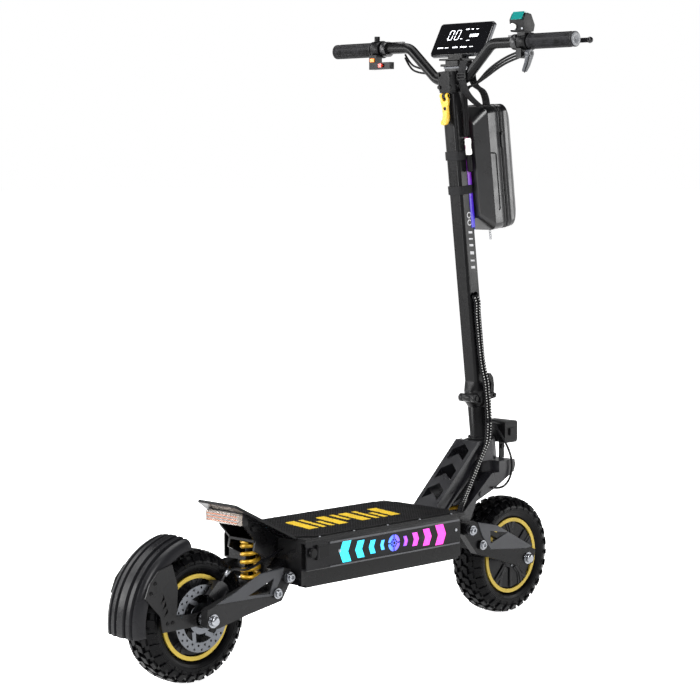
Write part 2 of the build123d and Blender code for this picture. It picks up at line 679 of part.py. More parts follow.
hinge_spot = (-27.0, -2.0)      # stem fold hinge, in front of and along the stem from its base
latch_spot = (40.0, -8.0)
barrel = 9.0
with BuildPart() as fold_base:
    with BuildSketch(stem_cross(-24)) as low:
        Circle(column_radius)
    with BuildSketch(stem_cross(-14)) as mid:
        Circle(27)
    loft([low.sketch.faces()[0], mid.sketch.faces()[0]])
    with BuildSketch(stem_cross(-14)) as body:
        Circle(27)
    extrude(body.sketch, amount=14 - seat / 2)
    for side in (-1, 1):
        side_plate([(-12, -14), (-12, -2.5), (hinge_spot[0], hinge_spot[1]), (-29, -10)],
                   side * 12, side * 23, plane=stem_profile)
        with BuildSketch(stem_profile.offset(-side * 12 if side > 0 else 23)) as round_ear:
            with Locations(hinge_spot):
                Circle(barrel)
        extrude(round_ear.sketch, amount=-11)
        side_plate([(20, -14), (20, -2), (latch_spot[0] - 2, -1), (latch_spot[0] + 7, -6),
                    (latch_spot[0] + 4, -14)], side * 9, side * 16, plane=stem_profile)
    with BuildSketch(stem_profile.offset(11.9)) as knuckle_gap:
        with Locations(hinge_spot):
            Circle(barrel + 0.5)
    extrude(knuckle_gap.sketch, amount=-23.8, mode=Mode.SUBTRACT)
    with BuildSketch(stem_profile.offset(25)) as pin:
        with Locations(hinge_spot):
            Circle(5)
    extrude(pin.sketch, amount=-50)
    with BuildSketch(stem_profile.offset(18)) as latch_pin:
        with Locations(latch_spot):
            Circle(3)
    extrude(latch_pin.sketch, amount=-36)
save(fold_base.part, "fold_base")

with BuildPart() as latch_lever:
    lx, ly = latch_spot
    side_plate([(lx - 4, ly + 6), (lx + 1, ly + 26), (lx - 5, ly + 38), (lx - 6, ly + 46),
                (lx + 2, ly + 48), (lx + 9, ly + 38), (lx + 10, ly + 20), (lx + 6, ly - 3),
                (lx + 4, ly - 5), (lx - 4, ly - 5)], -8.6, 8.6, plane=stem_profile)
    with BuildSketch(stem_profile.offset(8.6)) as eye:
        with Locations(latch_spot):
            Circle(6.5)
    extrude(eye.sketch, amount=-17.2)
    with BuildSketch(stem_profile.offset(10)) as bore:
        with Locations(latch_spot):
            Circle(3 + running)
    extrude(bore.sketch, amount=-20, mode=Mode.SUBTRACT)
save(latch_lever.part, "latch_lever")

# Headlight
lamp_back = axis_x(neck_top) + 40
with BuildPart() as headlight_housing:
    slab((lamp_back + 8, -30, neck_top - 12), (lamp_back + 50, 30, neck_top + 36))
    fillet(headlight_housing.edges().filter_by(Axis.Y), 7)
    slab((lamp_back, -15, neck_top - 6), (lamp_back + 10, 15, neck_top + 30))
    for side in (-1, 1):
        y_low, y_high = sorted((side * 12, side * 16))
        slab((lamp_back + 8, y_low, neck_low - 1.8), (lamp_back + 22, y_high, neck_top - 5))
        rod((lamp_back + 15, side * 16, neck_top - 20), (lamp_back + 15, side * 19, neck_top - 20), 5)
        cheek_low, cheek_high = sorted((side * 29, side * 34))
        slab((lamp_back + 22, cheek_low, neck_top + 4), (lamp_back + 40, cheek_high, neck_top + 20))
save(headlight_housing.part, "headlight_housing")

with BuildPart() as headlight_lens:
    with BuildSketch(Plane.YZ.offset(lamp_back + 50)) as face:
        with Locations((0, neck_top + 12)):
            RectangleRounded(48, 36, 9)
    extrude(face.sketch, amount=3)
    fillet(headlight_lens.edges().group_by(Axis.X)[-1], 2)
save(headlight_lens.part, "headlight_lens")

# Stem, bar and clamp
stem_end = up_stem(stem_top_z)
hook_spot = (-stem_side / 2 - 7.6, up_stem(grip_height - 103))
bar_x = axis_x(grip_height) + 5
bar_low_z = stem_top_z + 20
bar_low_x = axis_x(bar_low_z)
with BuildPart() as stem_tube:
    with BuildSketch(stem_cross(seat / 2)) as foot:
        Circle(27)
    extrude(foot.sketch, amount=12)
    with BuildSketch(stem_cross(12)) as low:
        Circle(27)
    with BuildSketch(stem_cross(34)) as high:
        RectangleRounded(stem_side, stem_side, 6.5)
    loft([low.sketch.faces()[0], high.sketch.faces()[0]])
    with BuildSketch(stem_cross(33)) as tube:
        RectangleRounded(stem_side, stem_side, 6.5)
    extrude(tube.sketch, amount=stem_end - 33)
    with BuildSketch(stem_cross(20)) as hollow:
        RectangleRounded(stem_side - 2 * stem_wall, stem_side - 2 * stem_wall, 4)
    extrude(hollow.sketch, amount=stem_end - 19, mode=Mode.SUBTRACT)
    side_plate([(24, 1), (24, 24), (32, 20), (35, 8), (33, 1)], -8, 8, plane=stem_profile)
    side_plate([hinge_spot, (-20, 12), (-10, 12), (-10, 0.5), (-18, 0.5)], -11.7, 11.7,
               plane=stem_profile)
    for side in (-1, 1):
        with BuildSketch(stem_profile.offset(40 if side < 0 else -11.7)) as ear_gap:
            with Locations(hinge_spot):
                Circle(barrel + 0.6)
        extrude(ear_gap.sketch, amount=-28.3, mode=Mode.SUBTRACT)
    with BuildSketch(stem_profile.offset(11.7)) as knuckle:
        with Locations(hinge_spot):
            Circle(barrel)
    extrude(knuckle.sketch, amount=-23.4)
    with BuildSketch(stem_profile.offset(13)) as bore:
        with Locations(hinge_spot):
            Circle(5 + running)
    extrude(bore.sketch, amount=-26, mode=Mode.SUBTRACT)
    for shift in loom_shifts:
        start = stem_point(shift, -stem_side / 2 - 2, exit_at)
        rod(start, (start[0], 0, start[2]), 7, Mode.SUBTRACT)
    hx, hy = hook_spot
    side_plate([(0.5 - stem_side / 2, hy - 8), (0.5 - stem_side / 2, hy + 5),
                (hx - 4, hy + 4), (hx - 4, hy - 4)], -3.8, 3.8, plane=stem_profile)
    with BuildSketch(stem_profile.offset(12)) as hook_pin:
        with Locations(hook_spot):
            Circle(2.5)
    extrude(hook_pin.sketch, amount=-24)
save(stem_tube.part, "stem_tube")

bend_y = 118.0
bar_route = [(bar_x, bar_width / 2 - 1, grip_height), (bar_x, bend_y, grip_height),
             (bar_low_x, 40, bar_low_z), (bar_low_x, -40, bar_low_z),
             (bar_x, -bend_y, grip_height), (bar_x, -bar_width / 2 + 1, grip_height)]
with BuildPart() as handlebar:
    with BuildLine() as route:
        FilletPolyline(*bar_route, radius=32)
    with BuildSketch(Plane(origin=bar_route[0], z_dir=(0, -1, 0))) as section:
        Circle(bar_radius)
        Circle(bar_radius - 2.2, mode=Mode.SUBTRACT)
    sweep(section.sketch, path=route.wire())
save(handlebar.part, "handlebar")

clamp_at = up_stem(bar_low_z)
with BuildPart() as bar_clamp:
    with BuildSketch(stem_cross(stem_end)) as collar:
        RectangleRounded(46, 46, 10)
    extrude(collar.sketch, amount=clamp_at - stem_end + 19)
    with BuildSketch(stem_cross(stem_end - 5)) as sleeve:
        RectangleRounded(stem_side + 8, stem_side + 8, 10)
        RectangleRounded(stem_side + 0.2, stem_side + 0.2, 6.6, mode=Mode.SUBTRACT)
    extrude(sleeve.sketch, amount=5)
    rod((bar_low_x, -24, bar_low_z), (bar_low_x, 24, bar_low_z), bar_radius + 0.1, Mode.SUBTRACT)
    for side in (-1, 1):
        for z in (-13, 13):
            y = side * 15
            start = stem_point(-23, y, clamp_at + z)
            end = stem_point(-26, y, clamp_at + z)
            rod(start, end, 4)
    slab((bar_low_x - 4, -16, bar_low_z + 16), (bar_low_x + 24, 16, bar_low_z + 24))
save(bar_clamp.part, "bar_clamp")

with BuildPart() as bar_grips:
    for side in (-1, 1):
        inner = side * (bar_width / 2 - grip_length)
        outer = side * (bar_width / 2)
        bar_sleeve(inner, outer, grip_radius - 1, bar_radius + 0.1)
        for k in range(7):
            start = inner + side * (8 + 15 * k)
            bar_sleeve(start, start + side * 9, grip_radius, bar_radius + 0.1)
        bar_sleeve(inner, inner + side * 4, grip_radius + 2, bar_radius + 0.1)
        cross_bar((bar_x, grip_height), grip_radius, outer - side * 1, outer)
save(bar_grips.part, "bar_grips")

# Display
screen_lean = math.radians(29)
screen_up = Vector(math.sin(screen_lean), 0, math.cos(screen_lean))
screen_low = Vector(bar_x + 17, 0, grip_height - 18.5)
screen_plane = Plane(origin=screen_low + screen_up * (display_height / 2), x_dir=(0, -1, 0),
                     z_dir=(-math.cos(screen_lean), 0, math.sin(screen_lean)))
with BuildPart() as display_housing:
    with BuildSketch(screen_plane) as body:
        RectangleRounded(display_width, display_height, 8)
    extrude(body.sketch, amount=-12)
    chamfer(display_housing.faces().sort_by(Axis.X)[-1].edges(), 3)
    with BuildSketch(screen_plane) as pocket:
        RectangleRounded(display_width - 3, display_height - 3, 7)
    extrude(pocket.sketch, amount=-2.5, mode=Mode.SUBTRACT)
    for side in (-1, 1):
        foot = (bar_low_x + 14, side * 18, bar_low_z + 27)
        knee = screen_low + Vector(14, side * 30, 8)
        rod(foot, (knee.X, knee.Y, knee.Z), 3.2)
    slab((bar_low_x + 2, -24, bar_low_z + 24.2), (bar_low_x + 26, 24, bar_low_z + 28.5))
save(display_housing.part, "display_housing")

with BuildPart() as display_screen:
    with BuildSketch(screen_plane.offset(-2.4)) as glass:
        RectangleRounded(display_width - 3.4, display_height - 3.4, 7)
    extrude(glass.sketch, amount=2.1)
save(display_screen.part, "display_screen")

# Hand controls
grip_in = bar_width / 2 - grip_length
fit = bar_radius + 0.1
with BuildPart() as switch_housing:
    y = grip_in - 4
    bar_sleeve(y, y - 22, 19, fit)
    slab((bar_x - 22, y - 22, grip_height - 44), (bar_x - 4, y, grip_height - 13))
    rod((bar_x - 8, y - 11, grip_height + 16), (bar_x - 8, y - 11, grip_height + 28), 6)
    slab((bar_x - 22, y - 62, grip_height - 44), (bar_x - 8, y - 21, grip_height - 29))
    slab((bar_x - 20, y - 46, grip_height - 38.3), (bar_x - 25, y - 28, grip_height - 33.7),
         Mode.SUBTRACT)
save(switch_housing.part, "switch_housing")

switch_y = grip_in - 4 - 37
with BuildPart() as signal_switch:
    slab((bar_x - 24.5, switch_y - 4, grip_height - 38), (bar_x - 20.3, switch_y + 4,
                                                         grip_height - 34))
    slab((bar_x - 27.5, switch_y - 5, grip_height - 40), (bar_x - 24.5, switch_y + 5,
                                                          grip_height - 32))
save(signal_switch.part, "signal_switch")


def perch_pivot(side):
    """Brake lever pivot, seen from above."""
    return bar_x + 30, side * (grip_in - 58)


with BuildPart() as brake_perches:
    for side in (-1, 1):
        ring = side * (grip_in - 30)
        bar_sleeve(ring, ring - side * 14, 16.5, fit)
        x, y = perch_pivot(side)
        y_low, y_high = sorted((ring - side * 0.5, y - side * 14))
        slab((bar_x + 12, y_low, grip_height - 8), (bar_x + 21, y_high, grip_height + 16))
        for z in (-8, 5):
            rod((x, y, grip_height + z), (x, y, grip_height + z + 3), 9)
            slab((bar_x + 20, min(y - 8, y + 8), grip_height + z),
                 (x, max(y - 8, y + 8), grip_height + z + 3))
        rod((x, y, grip_height - 8), (x, y, grip_height + 8), 3)
save(brake_perches.part, "brake_perches")


def brake_lever(side):
    """Lever blade in front of the grip, ending in a ball."""
    x, y = perch_pivot(side)
    tip_y = side * (bar_width / 2 - 3)
    with BuildPart() as made:
        blade = [(x - 5, y - side * 5), (x + 7, y - side * 5), (x + 24, y + side * 40),
                 (x + 22, y + side * 80), (bar_x + 52, tip_y), (bar_x + 44, tip_y),
                 (x + 12, y + side * 80), (x + 10, y + side * 40), (x - 5, y + side * 8)]
        flat_plate(blade, grip_height - 4.7, grip_height + 4.7)
        rod((x, y, grip_height - 4.7), (x, y, grip_height + 4.7), 8)
        with Locations((bar_x + 48, tip_y, grip_height)):
            Sphere(6.5)
        rod((x, y, grip_height - 6), (x, y, grip_height + 6), 3 + running, Mode.SUBTRACT)
    return made.part


save(brake_lever(1), "brake_lever_left")
save(brake_lever(-1), "brake_lever_right")

throttle_spot = (bar_x - 8, grip_height - 25)
horn_y = 30 - grip_in
horn_radius = 6.5
with BuildPart() as throttle_housing:
    y = -grip_in + 4
    bar_sleeve(y, y + 22, 18, fit)
    slab((bar_x - 18, y + 8, grip_height - 34), (bar_x + 8, y + 22, grip_height - 14))
    cross_bar(throttle_spot, 4, y + 22, y - 12)
    slab((bar_x - 14, y + 2, grip_height + 12), (bar_x + 8, y + 22, grip_height + 20))
    pod = [(bar_x - 18, grip_height + 20.0), (bar_x + 10, grip_height + 20),
           (bar_x + 14, grip_height + 34), (bar_x + 2, grip_height + 56),
           (bar_x - 14, grip_height + 58), (bar_x - 22, grip_height + 44)]
    side_plate(pod, y - 2, y + 36, corner=3)
    rod((bar_x - 30, horn_y, grip_height + 30), (bar_x - 10, horn_y, grip_height + 30),
        horn_radius + running, Mode.SUBTRACT)
save(throttle_housing.part, "throttle_housing")

with BuildPart() as pod_lens:
    lens = [(bar_x - 16, grip_height + 58.6), (bar_x + 2, grip_height + 56.3),
            (bar_x + 2, grip_height + 58), (bar_x - 15, grip_height + 61),
            (bar_x - 24, grip_height + 45), (bar_x - 22.4, grip_height + 44.2)]
    side_plate(lens, -grip_in + 6, -grip_in + 36)
save(pod_lens.part, "pod_lens")

with BuildPart() as horn_button:
    rod((bar_x - 12.3, horn_y, grip_height + 30), (bar_x - 26, horn_y, grip_height + 30),
        horn_radius)
save(horn_button.part, "horn_button")

with BuildPart() as throttle_paddle:
    tx, tz = throttle_spot
    low, high = -grip_in - 8, -grip_in + 3.6
    cross_bar(throttle_spot, 8, low, high)
    side_plate([(tx - 6, tz - 4), (tx + 7, tz - 4), (tx - 4, tz - 26), (tx - 14, tz - 38),
                (tx - 17, tz - 35), (tx - 10, tz - 20)], low, high)
    cross_bar(throttle_spot, 4 + running, low - 1, high + 1, Mode.SUBTRACT)
save(throttle_paddle.part, "throttle_paddle")

# Stem hook
with BuildPart() as hook_parts:
    hx, hy = hook_spot
    side_plate([(hx - 5, hy + 5), (hx + 5, hy + 5), (hx + 6, hy - 18), (hx + 5, hy - 50),
                (hx - 3, hy - 60), (hx - 9, hy - 56), (hx - 5, hy - 51), (hx - 3, hy - 40),
                (hx - 4, hy - 18)], -12, 12, plane=stem_profile)
    side_plate([(hx - 9, hy - 12), (hx - 9, hy + 9), (hx + 9, hy + 9), (hx + 9, hy - 12)],
               -4.2, 4.2, Mode.SUBTRACT, stem_profile)
    side_plate([(hx - 9, hy - 32), (hx - 9, hy - 22), (hx + 9, hy - 22), (hx + 9, hy - 32)],
               -4, 4, Mode.SUBTRACT, stem_profile)
    with BuildSketch(stem_profile.offset(14)) as bore:
        with Locations(hook_spot):
            Circle(2.5 + running)
    extrude(bore.sketch, amount=-28, mode=Mode.SUBTRACT)
save(hook_parts.part, "stem_hook")

# Bag
bag_back = stem_side / 2 + 5
bag_low = up_stem(fold_z + 353)
bag_high = bag_low + bag_height
zip_at = bag_back + bag_depth * 0.58
bag_front = bag_back + bag_depth
bag_half = bag_width / 2
with BuildPart() as bag_shell:
    side_plate([(bag_back, bag_low + 20), (bag_back + 20, bag_low), (zip_at, bag_low),
                (zip_at, bag_high), (bag_back + 20, bag_high), (bag_back, bag_high - 20)],
               -bag_half, bag_half, plane=stem_profile)
    chamfer(bag_shell.faces().sort_by(Axis.X)[0].edges(), 8)
save(bag_shell.part, "bag_shell")

with BuildPart() as bag_lid:
    side_plate([(zip_at + 0.4, bag_low), (zip_at + 0.4, bag_high), (bag_front - 18, bag_high - 3),
                (bag_front - 3, bag_high - 34), (bag_front, bag_high - 60), (bag_front, bag_low + 34),
                (bag_front - 16, bag_low + 3)], -bag_half, bag_half, plane=stem_profile)
    with BuildSketch(stem_profile.offset(30)) as bead:
        with Locations((zip_at + 2.6, bag_low - 1.5)):
            Circle(2.2)
    extrude(bead.sketch, amount=-60)
save(bag_lid.part, "bag_lid")

with BuildPart() as bag_straps:
    for z in (bag_low + 86, bag_low + 160):
        outer = stem_side / 2 + 1.8
        with BuildSketch(stem_cross(z)) as band:
            RectangleRounded(2 * outer, 2 * outer, 7.5)
            RectangleRounded(stem_side + 0.4, stem_side + 0.4, 6.6, mode=Mode.SUBTRACT)
            with Locations(((outer + bag_back) / 2 - 0.4, 0)):
                Rectangle(bag_back - outer, 24)
        extrude(band.sketch, amount=18)
    top = stem_point(bag_back + 18, 0, bag_high + 1.5)
    far_top = stem_point(bag_back + 48, 0, bag_high + 1.5)
    with BuildSketch(Plane.XZ.offset(33)) as loop:
        with BuildLine() as line:
            Polyline((top[0], top[2]), (bar_low_x + 12, bar_low_z - 41),
                     (bar_low_x - 14, bar_low_z - 12), (bar_low_x - 15, bar_low_z + 30),
                     (bar_low_x, bar_low_z + 44), (bar_low_x + 16, bar_low_z + 30),
                     (bar_low_x + 28, bar_low_z - 8), (far_top[0], far_top[2]))
        trace(line.line, line_width=2)
    extrude(loop.sketch, amount=20)
save(bag_straps.part, "bag_straps")

# Cables held along their whole run
with BuildPart() as column_loom:
    for f in loom_shifts:
        cable("column loom", [stem_point(f, -32.4, 12.0), stem_point(f, -32.6, -8),
                              stem_point(f - 1, -32.4, -32), stem_point(f - 4, -34.5, -54),
                              stem_point(f - 10, -37.6, -70),
                              stem_point(f - 13.4, -38.3, -85)], loom_radius)
    hose = [(9, -33, -62), (16, -46, -88), (28, -54, -120), (36, -55.5, -150), (31, -55.5, -180),
            (12, -55, -200), (-14, -54.5, -203), (-34, -53.4, -196)]
    cable("front brake hose", [stem_point(*spot) for spot in hose], hose_radius)
save(column_loom.part, "column_loom")

with BuildPart() as chassis_looms:
    for shift in loom_shifts:
        x, _, z = stem_point(shift - 14.4, -38.3, -88)
        drop = -0.4 * shift
        cable("neck loom", [(x, -38.3, z), (x - 3, -38.5, z - 12), (x - 24, -38.6, z - 41 - drop),
                            (x - 52, -40, z - 83 - drop), (x - 90, -50, z - 122 - drop),
                            (x - 128, -68, z - 149 - drop),
                            (deck_front + 17, -84, deck_top - 18 - drop),
                            (deck_front + 1, -85.2, deck_top - 19 - drop)], loom_radius)
    cable("rear hose, deck end", [(deck_rear - 0.6, -52, deck_rim - 24),
                                  (deck_rear - 12, -52.5, deck_rim - 26),
                                  (deck_rear - 24, -53, deck_rim - 31)], hose_radius)
save(chassis_looms.part, "chassis_looms")

with BuildPart() as rear_brake:
    add(caliper(rear_x, -1, math.radians(52)))
    cable("rear brake hose", [(rear_x + 48.6, -47, axle_z + 62.2), (rear_x + 64, -47, axle_z + 80),
                              (rear_x + 82, -48.5, axle_z + 86), (rear_x + 106, -50, axle_z + 79),
                              (rear_x + 130, -51, axle_z + 82),
                              (rear_x + 150, -52, axle_z + 91)], hose_radius)
    rod((rear_x + 60, -47, axle_z + 76), (rear_x + 70, -47.4, axle_z + 83), 4.5)
save(rear_brake.part, "rear_caliper")

with BuildPart() as bar_cables:
    for f in loom_shifts:
        cable("stem loom", [stem_point(f, -stem_side / 2 - 0.4, exit_at),
                            stem_point(f, -27, exit_at - 9),
                            stem_point(f, -22.9, exit_at - 34), stem_point(f, -23.2, exit_at - 80),
                            stem_point(f, -23.6, 90), stem_point(f, -27, 55),
                            stem_point(f, -32, 34), stem_point(f, -32.4, 12.4)], loom_radius)
    for k in (-1, 0, 1):
        f = 6 + 5.6 * k
        end = up_stem(stem_top_z - 84)
        cable("right bar cable", [(bar_x + 2, -grip_in + 26.6, grip_height - 24 + 6 * k),
                                  (bar_x + 3, -grip_in + 58, grip_height - 31 + 6 * k),
                                  (bar_x + 6, -grip_in + 93, grip_height - 44 + 6 * k),
                                  (bar_x + 9, -grip_in + 128, grip_height - 62 + 6.2 * k),
                                  (bar_x + 9 + 6.5 * k, -62, bar_low_z - 12 + 3 * k),
                                  (bar_x + 11 + 6.5 * k, -29.6, bar_low_z - 18),
                                  stem_point(f + 2, -25.5, end + 34), stem_point(f, -25, end)], 2.4)
        rod(stem_point(f, -25, end - 0.2), stem_point(f, -25, end - 20), 2.7)
    rod(stem_point(6, -27.5, end - 20.4), stem_point(6, -27.5, end - 56), 7)
    rod(stem_point(6, -27, end - 56.4), stem_point(6, -27, end - 92), 6)
    for shift in (0, 7):
        cable("left bar cable", [(bar_x + 17, grip_in - 76, grip_height - 12 - shift),
                                 (bar_x + 16, grip_in - 92, grip_height - 34 - 1.4 * shift),
                                 (bar_x + 17, grip_in - 116, grip_height - 43 - 1.4 * shift),
                                 (bar_x + 19, grip_in - 142, grip_height - 47 - 1.2 * shift),
                                 (bar_x + 21, grip_in - 168, bar_low_z + 4 - shift),
                                 (bar_x + 22, 36, bar_low_z - 18 - shift),
                                 stem_point(8 - shift, 26, up_stem(stem_top_z - 30)),
                                 stem_point(6 - shift, 20.9, up_stem(stem_top_z - 62))], 2.2)
save(bar_cables.part, "bar_cables")

# Kickstand, folded against the left rail
with BuildPart() as kickstand:
    rod((stand_x, stand_y - 5, stand_z), (stand_x, stand_y + 6, stand_z), 9)
    rod((stand_x, stand_y + 1, stand_z), (stand_x + stand_length, stand_y + 1, stand_z), 6)
    rod((stand_x + stand_length - 3, stand_y + 1, stand_z - 10),
        (stand_x + stand_length - 3, stand_y + 1, stand_z + 10), 5)
    rod((stand_x, stand_y - 6, stand_z), (stand_x, stand_y + 7, stand_z), 4 + running,
        Mode.SUBTRACT)
save(kickstand.part, "kickstand")
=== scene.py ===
import json
import math

import bpy
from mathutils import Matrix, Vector


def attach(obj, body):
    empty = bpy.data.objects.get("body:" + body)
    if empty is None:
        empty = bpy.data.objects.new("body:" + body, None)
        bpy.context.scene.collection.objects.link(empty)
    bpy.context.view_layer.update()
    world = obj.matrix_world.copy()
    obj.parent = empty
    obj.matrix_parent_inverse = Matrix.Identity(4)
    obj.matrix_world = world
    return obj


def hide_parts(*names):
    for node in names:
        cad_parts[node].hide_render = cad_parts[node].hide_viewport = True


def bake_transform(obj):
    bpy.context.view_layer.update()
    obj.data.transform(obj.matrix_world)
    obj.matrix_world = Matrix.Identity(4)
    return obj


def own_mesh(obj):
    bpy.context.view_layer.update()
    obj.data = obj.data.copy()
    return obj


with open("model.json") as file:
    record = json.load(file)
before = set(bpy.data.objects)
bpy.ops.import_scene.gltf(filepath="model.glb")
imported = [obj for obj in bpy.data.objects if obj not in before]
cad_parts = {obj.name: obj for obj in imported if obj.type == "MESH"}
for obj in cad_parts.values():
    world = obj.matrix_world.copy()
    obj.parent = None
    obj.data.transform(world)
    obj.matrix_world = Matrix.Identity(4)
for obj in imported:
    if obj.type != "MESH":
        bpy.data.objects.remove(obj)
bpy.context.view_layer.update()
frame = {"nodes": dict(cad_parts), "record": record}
mm = 0.001
print("stage: frame loaded")

# Places on the scooter, in millimetres: X forward, Y to the rider's left, Z up
rearX, frontX, axleZ = -446.5, 479.5, 130.0
tilt = math.radians(7.3)
ahead = Vector((math.cos(tilt), 0, math.sin(tilt)))
along = Vector((-math.sin(tilt), 0, math.cos(tilt)))
foldZ = 492.0
stemBase = Vector((397.96, 0, foldZ))
barX, gripZ, barHalf = 306.56, 1244.5, 341.0
barLow = Vector((310.78, 0, 1172.5))
deckRear, deckFront, deckTop = -238.5, 227.5, 265.0
bagBack, bagZip, bagFront = 23.25, 87.05, 133.25
bagLow, bagHigh, bagHalf = 355.88, 623.88, 52.5


def upStem(z):
    return (z - foldZ) / math.cos(tilt)


def onStem(forward, y, distance):
    return stemBase + ahead * forward + along * distance + Vector((0, y, 0))


# Materials
# sRGB hex to linear RGBA.
def linear(hexColour):
    parts = [int(hexColour[k:k + 2], 16) / 255 for k in (1, 3, 5)]
    parts = [c / 12.92 if c <= 0.04045 else ((c + 0.055) / 1.055) ** 2.4 for c in parts]
    return (*parts, 1.0)


# Adds a shader node with its settings, and its inputs as values or links.
def add(tree, kind, inputs=None, **settings):
    made = tree.nodes.new("ShaderNode" + kind)
    for key, value in settings.items():
        setattr(made, key, value)
    for key, value in (inputs or {}).items():
        if isinstance(value, bpy.types.NodeSocket):
            tree.links.new(value, made.inputs[key])
        else:
            made.inputs[key].default_value = value
    return made


# Sets shader values that are the same all over.
def fill(shader, values):
    for key, value in values.items():
        shader.inputs[key].default_value = value


def blank(name):
    made = bpy.data.materials.new(name)
    made.use_nodes = True
    tree = made.node_tree
    return made, tree, tree.nodes["Principled BSDF"]


# A finish with cloudy colour, uneven gloss, a fine grain in relief and lighter worn edges.
def surface(name, shade, rough, vary=0.12, spread=0.08, grain=1.2, bump=0.03, metallic=0.0,
            coat=0.0, wear=0.0, sheen=0.0, clouds=45.0, gloss=None):
    made, tree, shader = blank(name)
    place = add(tree, "TexCoord").outputs["Object"]
    cloud = add(tree, "TexNoise", {"Vector": place, "Scale": 1 / (clouds * mm), "Detail": 4.0})
    base = linear(shade)
    dark = tuple(c * (1 - vary) for c in base[:3]) + (1.0,)
    light = tuple(min(1, c * (1 + vary)) for c in base[:3]) + (1.0,)
    ramp = add(tree, "ValToRGB", {"Fac": cloud.outputs["Fac"]})
    for stop, shadeAt, place01 in zip(ramp.color_ramp.elements, (dark, light), (0.35, 0.65)):
        stop.color, stop.position = shadeAt, place01
    colour = ramp.outputs["Color"]
    if wear:
        edge = add(tree, "NewGeometry").outputs["Pointiness"]
        fade = add(tree, "MapRange", {"Value": edge, "From Min": 0.52, "From Max": 0.62,
                                      "To Min": 0.0, "To Max": wear})
        rubbed = tuple(min(1, c * 2.2 + 0.05) for c in base[:3]) + (1.0,)
        worn = add(tree, "MixRGB", {"Fac": fade.outputs["Result"], "Color1": colour,
                                    "Color2": rubbed})
        colour = worn.outputs["Color"]
    tree.links.new(colour, shader.inputs["Base Color"])
    uneven = add(tree, "MapRange", {"Value": cloud.outputs["Fac"], "From Min": 0.3,
                                    "From Max": 0.7, "To Min": rough - spread,
                                    "To Max": rough + spread})
    tree.links.new(uneven.outputs["Result"], shader.inputs["Roughness"])
    darkest = max(base[:3]) < 0.03 and not metallic
    fill(shader, {"Specular IOR Level": gloss or (0.11 if darkest else 0.40),
                  "Metallic": metallic, "Coat Weight": coat, "Sheen Weight": sheen})
    fine = add(tree, "TexNoise", {"Vector": place, "Scale": 1 / (grain * mm), "Detail": 2.0})
    relief = add(tree, "Bump", {"Height": fine.outputs["Fac"], "Distance": bump * mm,
                                "Strength": 1.0})
    tree.links.new(relief.outputs["Normal"], shader.inputs["Normal"])
    return made


# Cloth or webbing: two crossed sets of threads in relief, with painted shade where the weave dips
# and a painted highlight where it rises.
def woven(name, shade, thread, rough=0.8, sheen=0.0, depth=0.25, gloss=0.25):
    made, tree, shader = blank(name)
    place = add(tree, "TexCoord").outputs["Object"]
    waves = [add(tree, "TexWave", {"Vector": place, "Scale": 1 / (thread * mm) / 6.28,
                                   "Distortion": 0.6, "Detail": 1.0}, bands_direction=way)
             for way in ("DIAGONAL", "Z", "Y")]
    product = add(tree, "Math", {0: waves[1].outputs["Fac"], 1: waves[2].outputs["Fac"]},
                  operation="MULTIPLY")
    total = add(tree, "Math", {0: product.outputs[0], 1: waves[0].outputs["Fac"]},
                operation="ADD")
    base = linear(shade)
    # Darker where the weave dips is painted shade; lighter where it rises is a painted highlight
    ramp = add(tree, "ValToRGB", {"Fac": total.outputs[0]})
    ramp.color_ramp.elements[0].color = tuple(c * 0.55 for c in base[:3]) + (1.0,)
    ramp.color_ramp.elements[1].color = tuple(min(1, c * 1.35) for c in base[:3]) + (1.0,)
    tree.links.new(ramp.outputs["Color"], shader.inputs["Base Color"])
    fill(shader, {"Roughness": rough, "Sheen Weight": sheen, "Specular IOR Level": gloss})
    relief = add(tree, "Bump", {"Height": total.outputs[0], "Distance": depth * mm})
    tree.links.new(relief.outputs["Normal"], shader.inputs["Normal"])
    return made


# A lit diffuser whose colour runs along one axis of the scooter.
def glow(name, stops, low, high, strength, axis=0):
    made, tree, shader = blank(name)
    place = add(tree, "TexCoord").outputs["Object"]
    split = add(tree, "SeparateXYZ", {"Vector": place})
    across = add(tree, "MapRange", {"Value": split.outputs[axis], "From Min": low * mm,
                                    "From Max": high * mm})
    ramp = add(tree, "ValToRGB", {"Fac": across.outputs["Result"]})
    elements = ramp.color_ramp.elements
    for k, (position, shade) in enumerate(stops):
        stop = elements[k] if k < 2 else elements.new(position)
        stop.position = position
        stop.color = linear(shade)
    tree.links.new(ramp.outputs["Color"], shader.inputs["Emission Color"])
    tree.links.new(ramp.outputs["Color"], shader.inputs["Base Color"])
    fill(shader, {"Emission Strength": strength, "Roughness": 0.35})
    return made


def clear(name, shade, rough=0.05, transmission=0.6, coat=0.5):
    made, tree, shader = blank(name)
    place = add(tree, "TexCoord").outputs["Object"]
    cloud = add(tree, "TexNoise", {"Vector": place, "Scale": 1 / (14 * mm)})
    gloss = add(tree, "MapRange", {"Value": cloud.outputs["Fac"], "To Min": rough,
                                   "To Max": rough + 0.08})
    tree.links.new(gloss.outputs["Result"], shader.inputs["Roughness"])
    fill(shader, {"Base Color": linear(shade), "Transmission Weight": transmission, "IOR": 1.49,
                  "Coat Weight": coat})
    return made


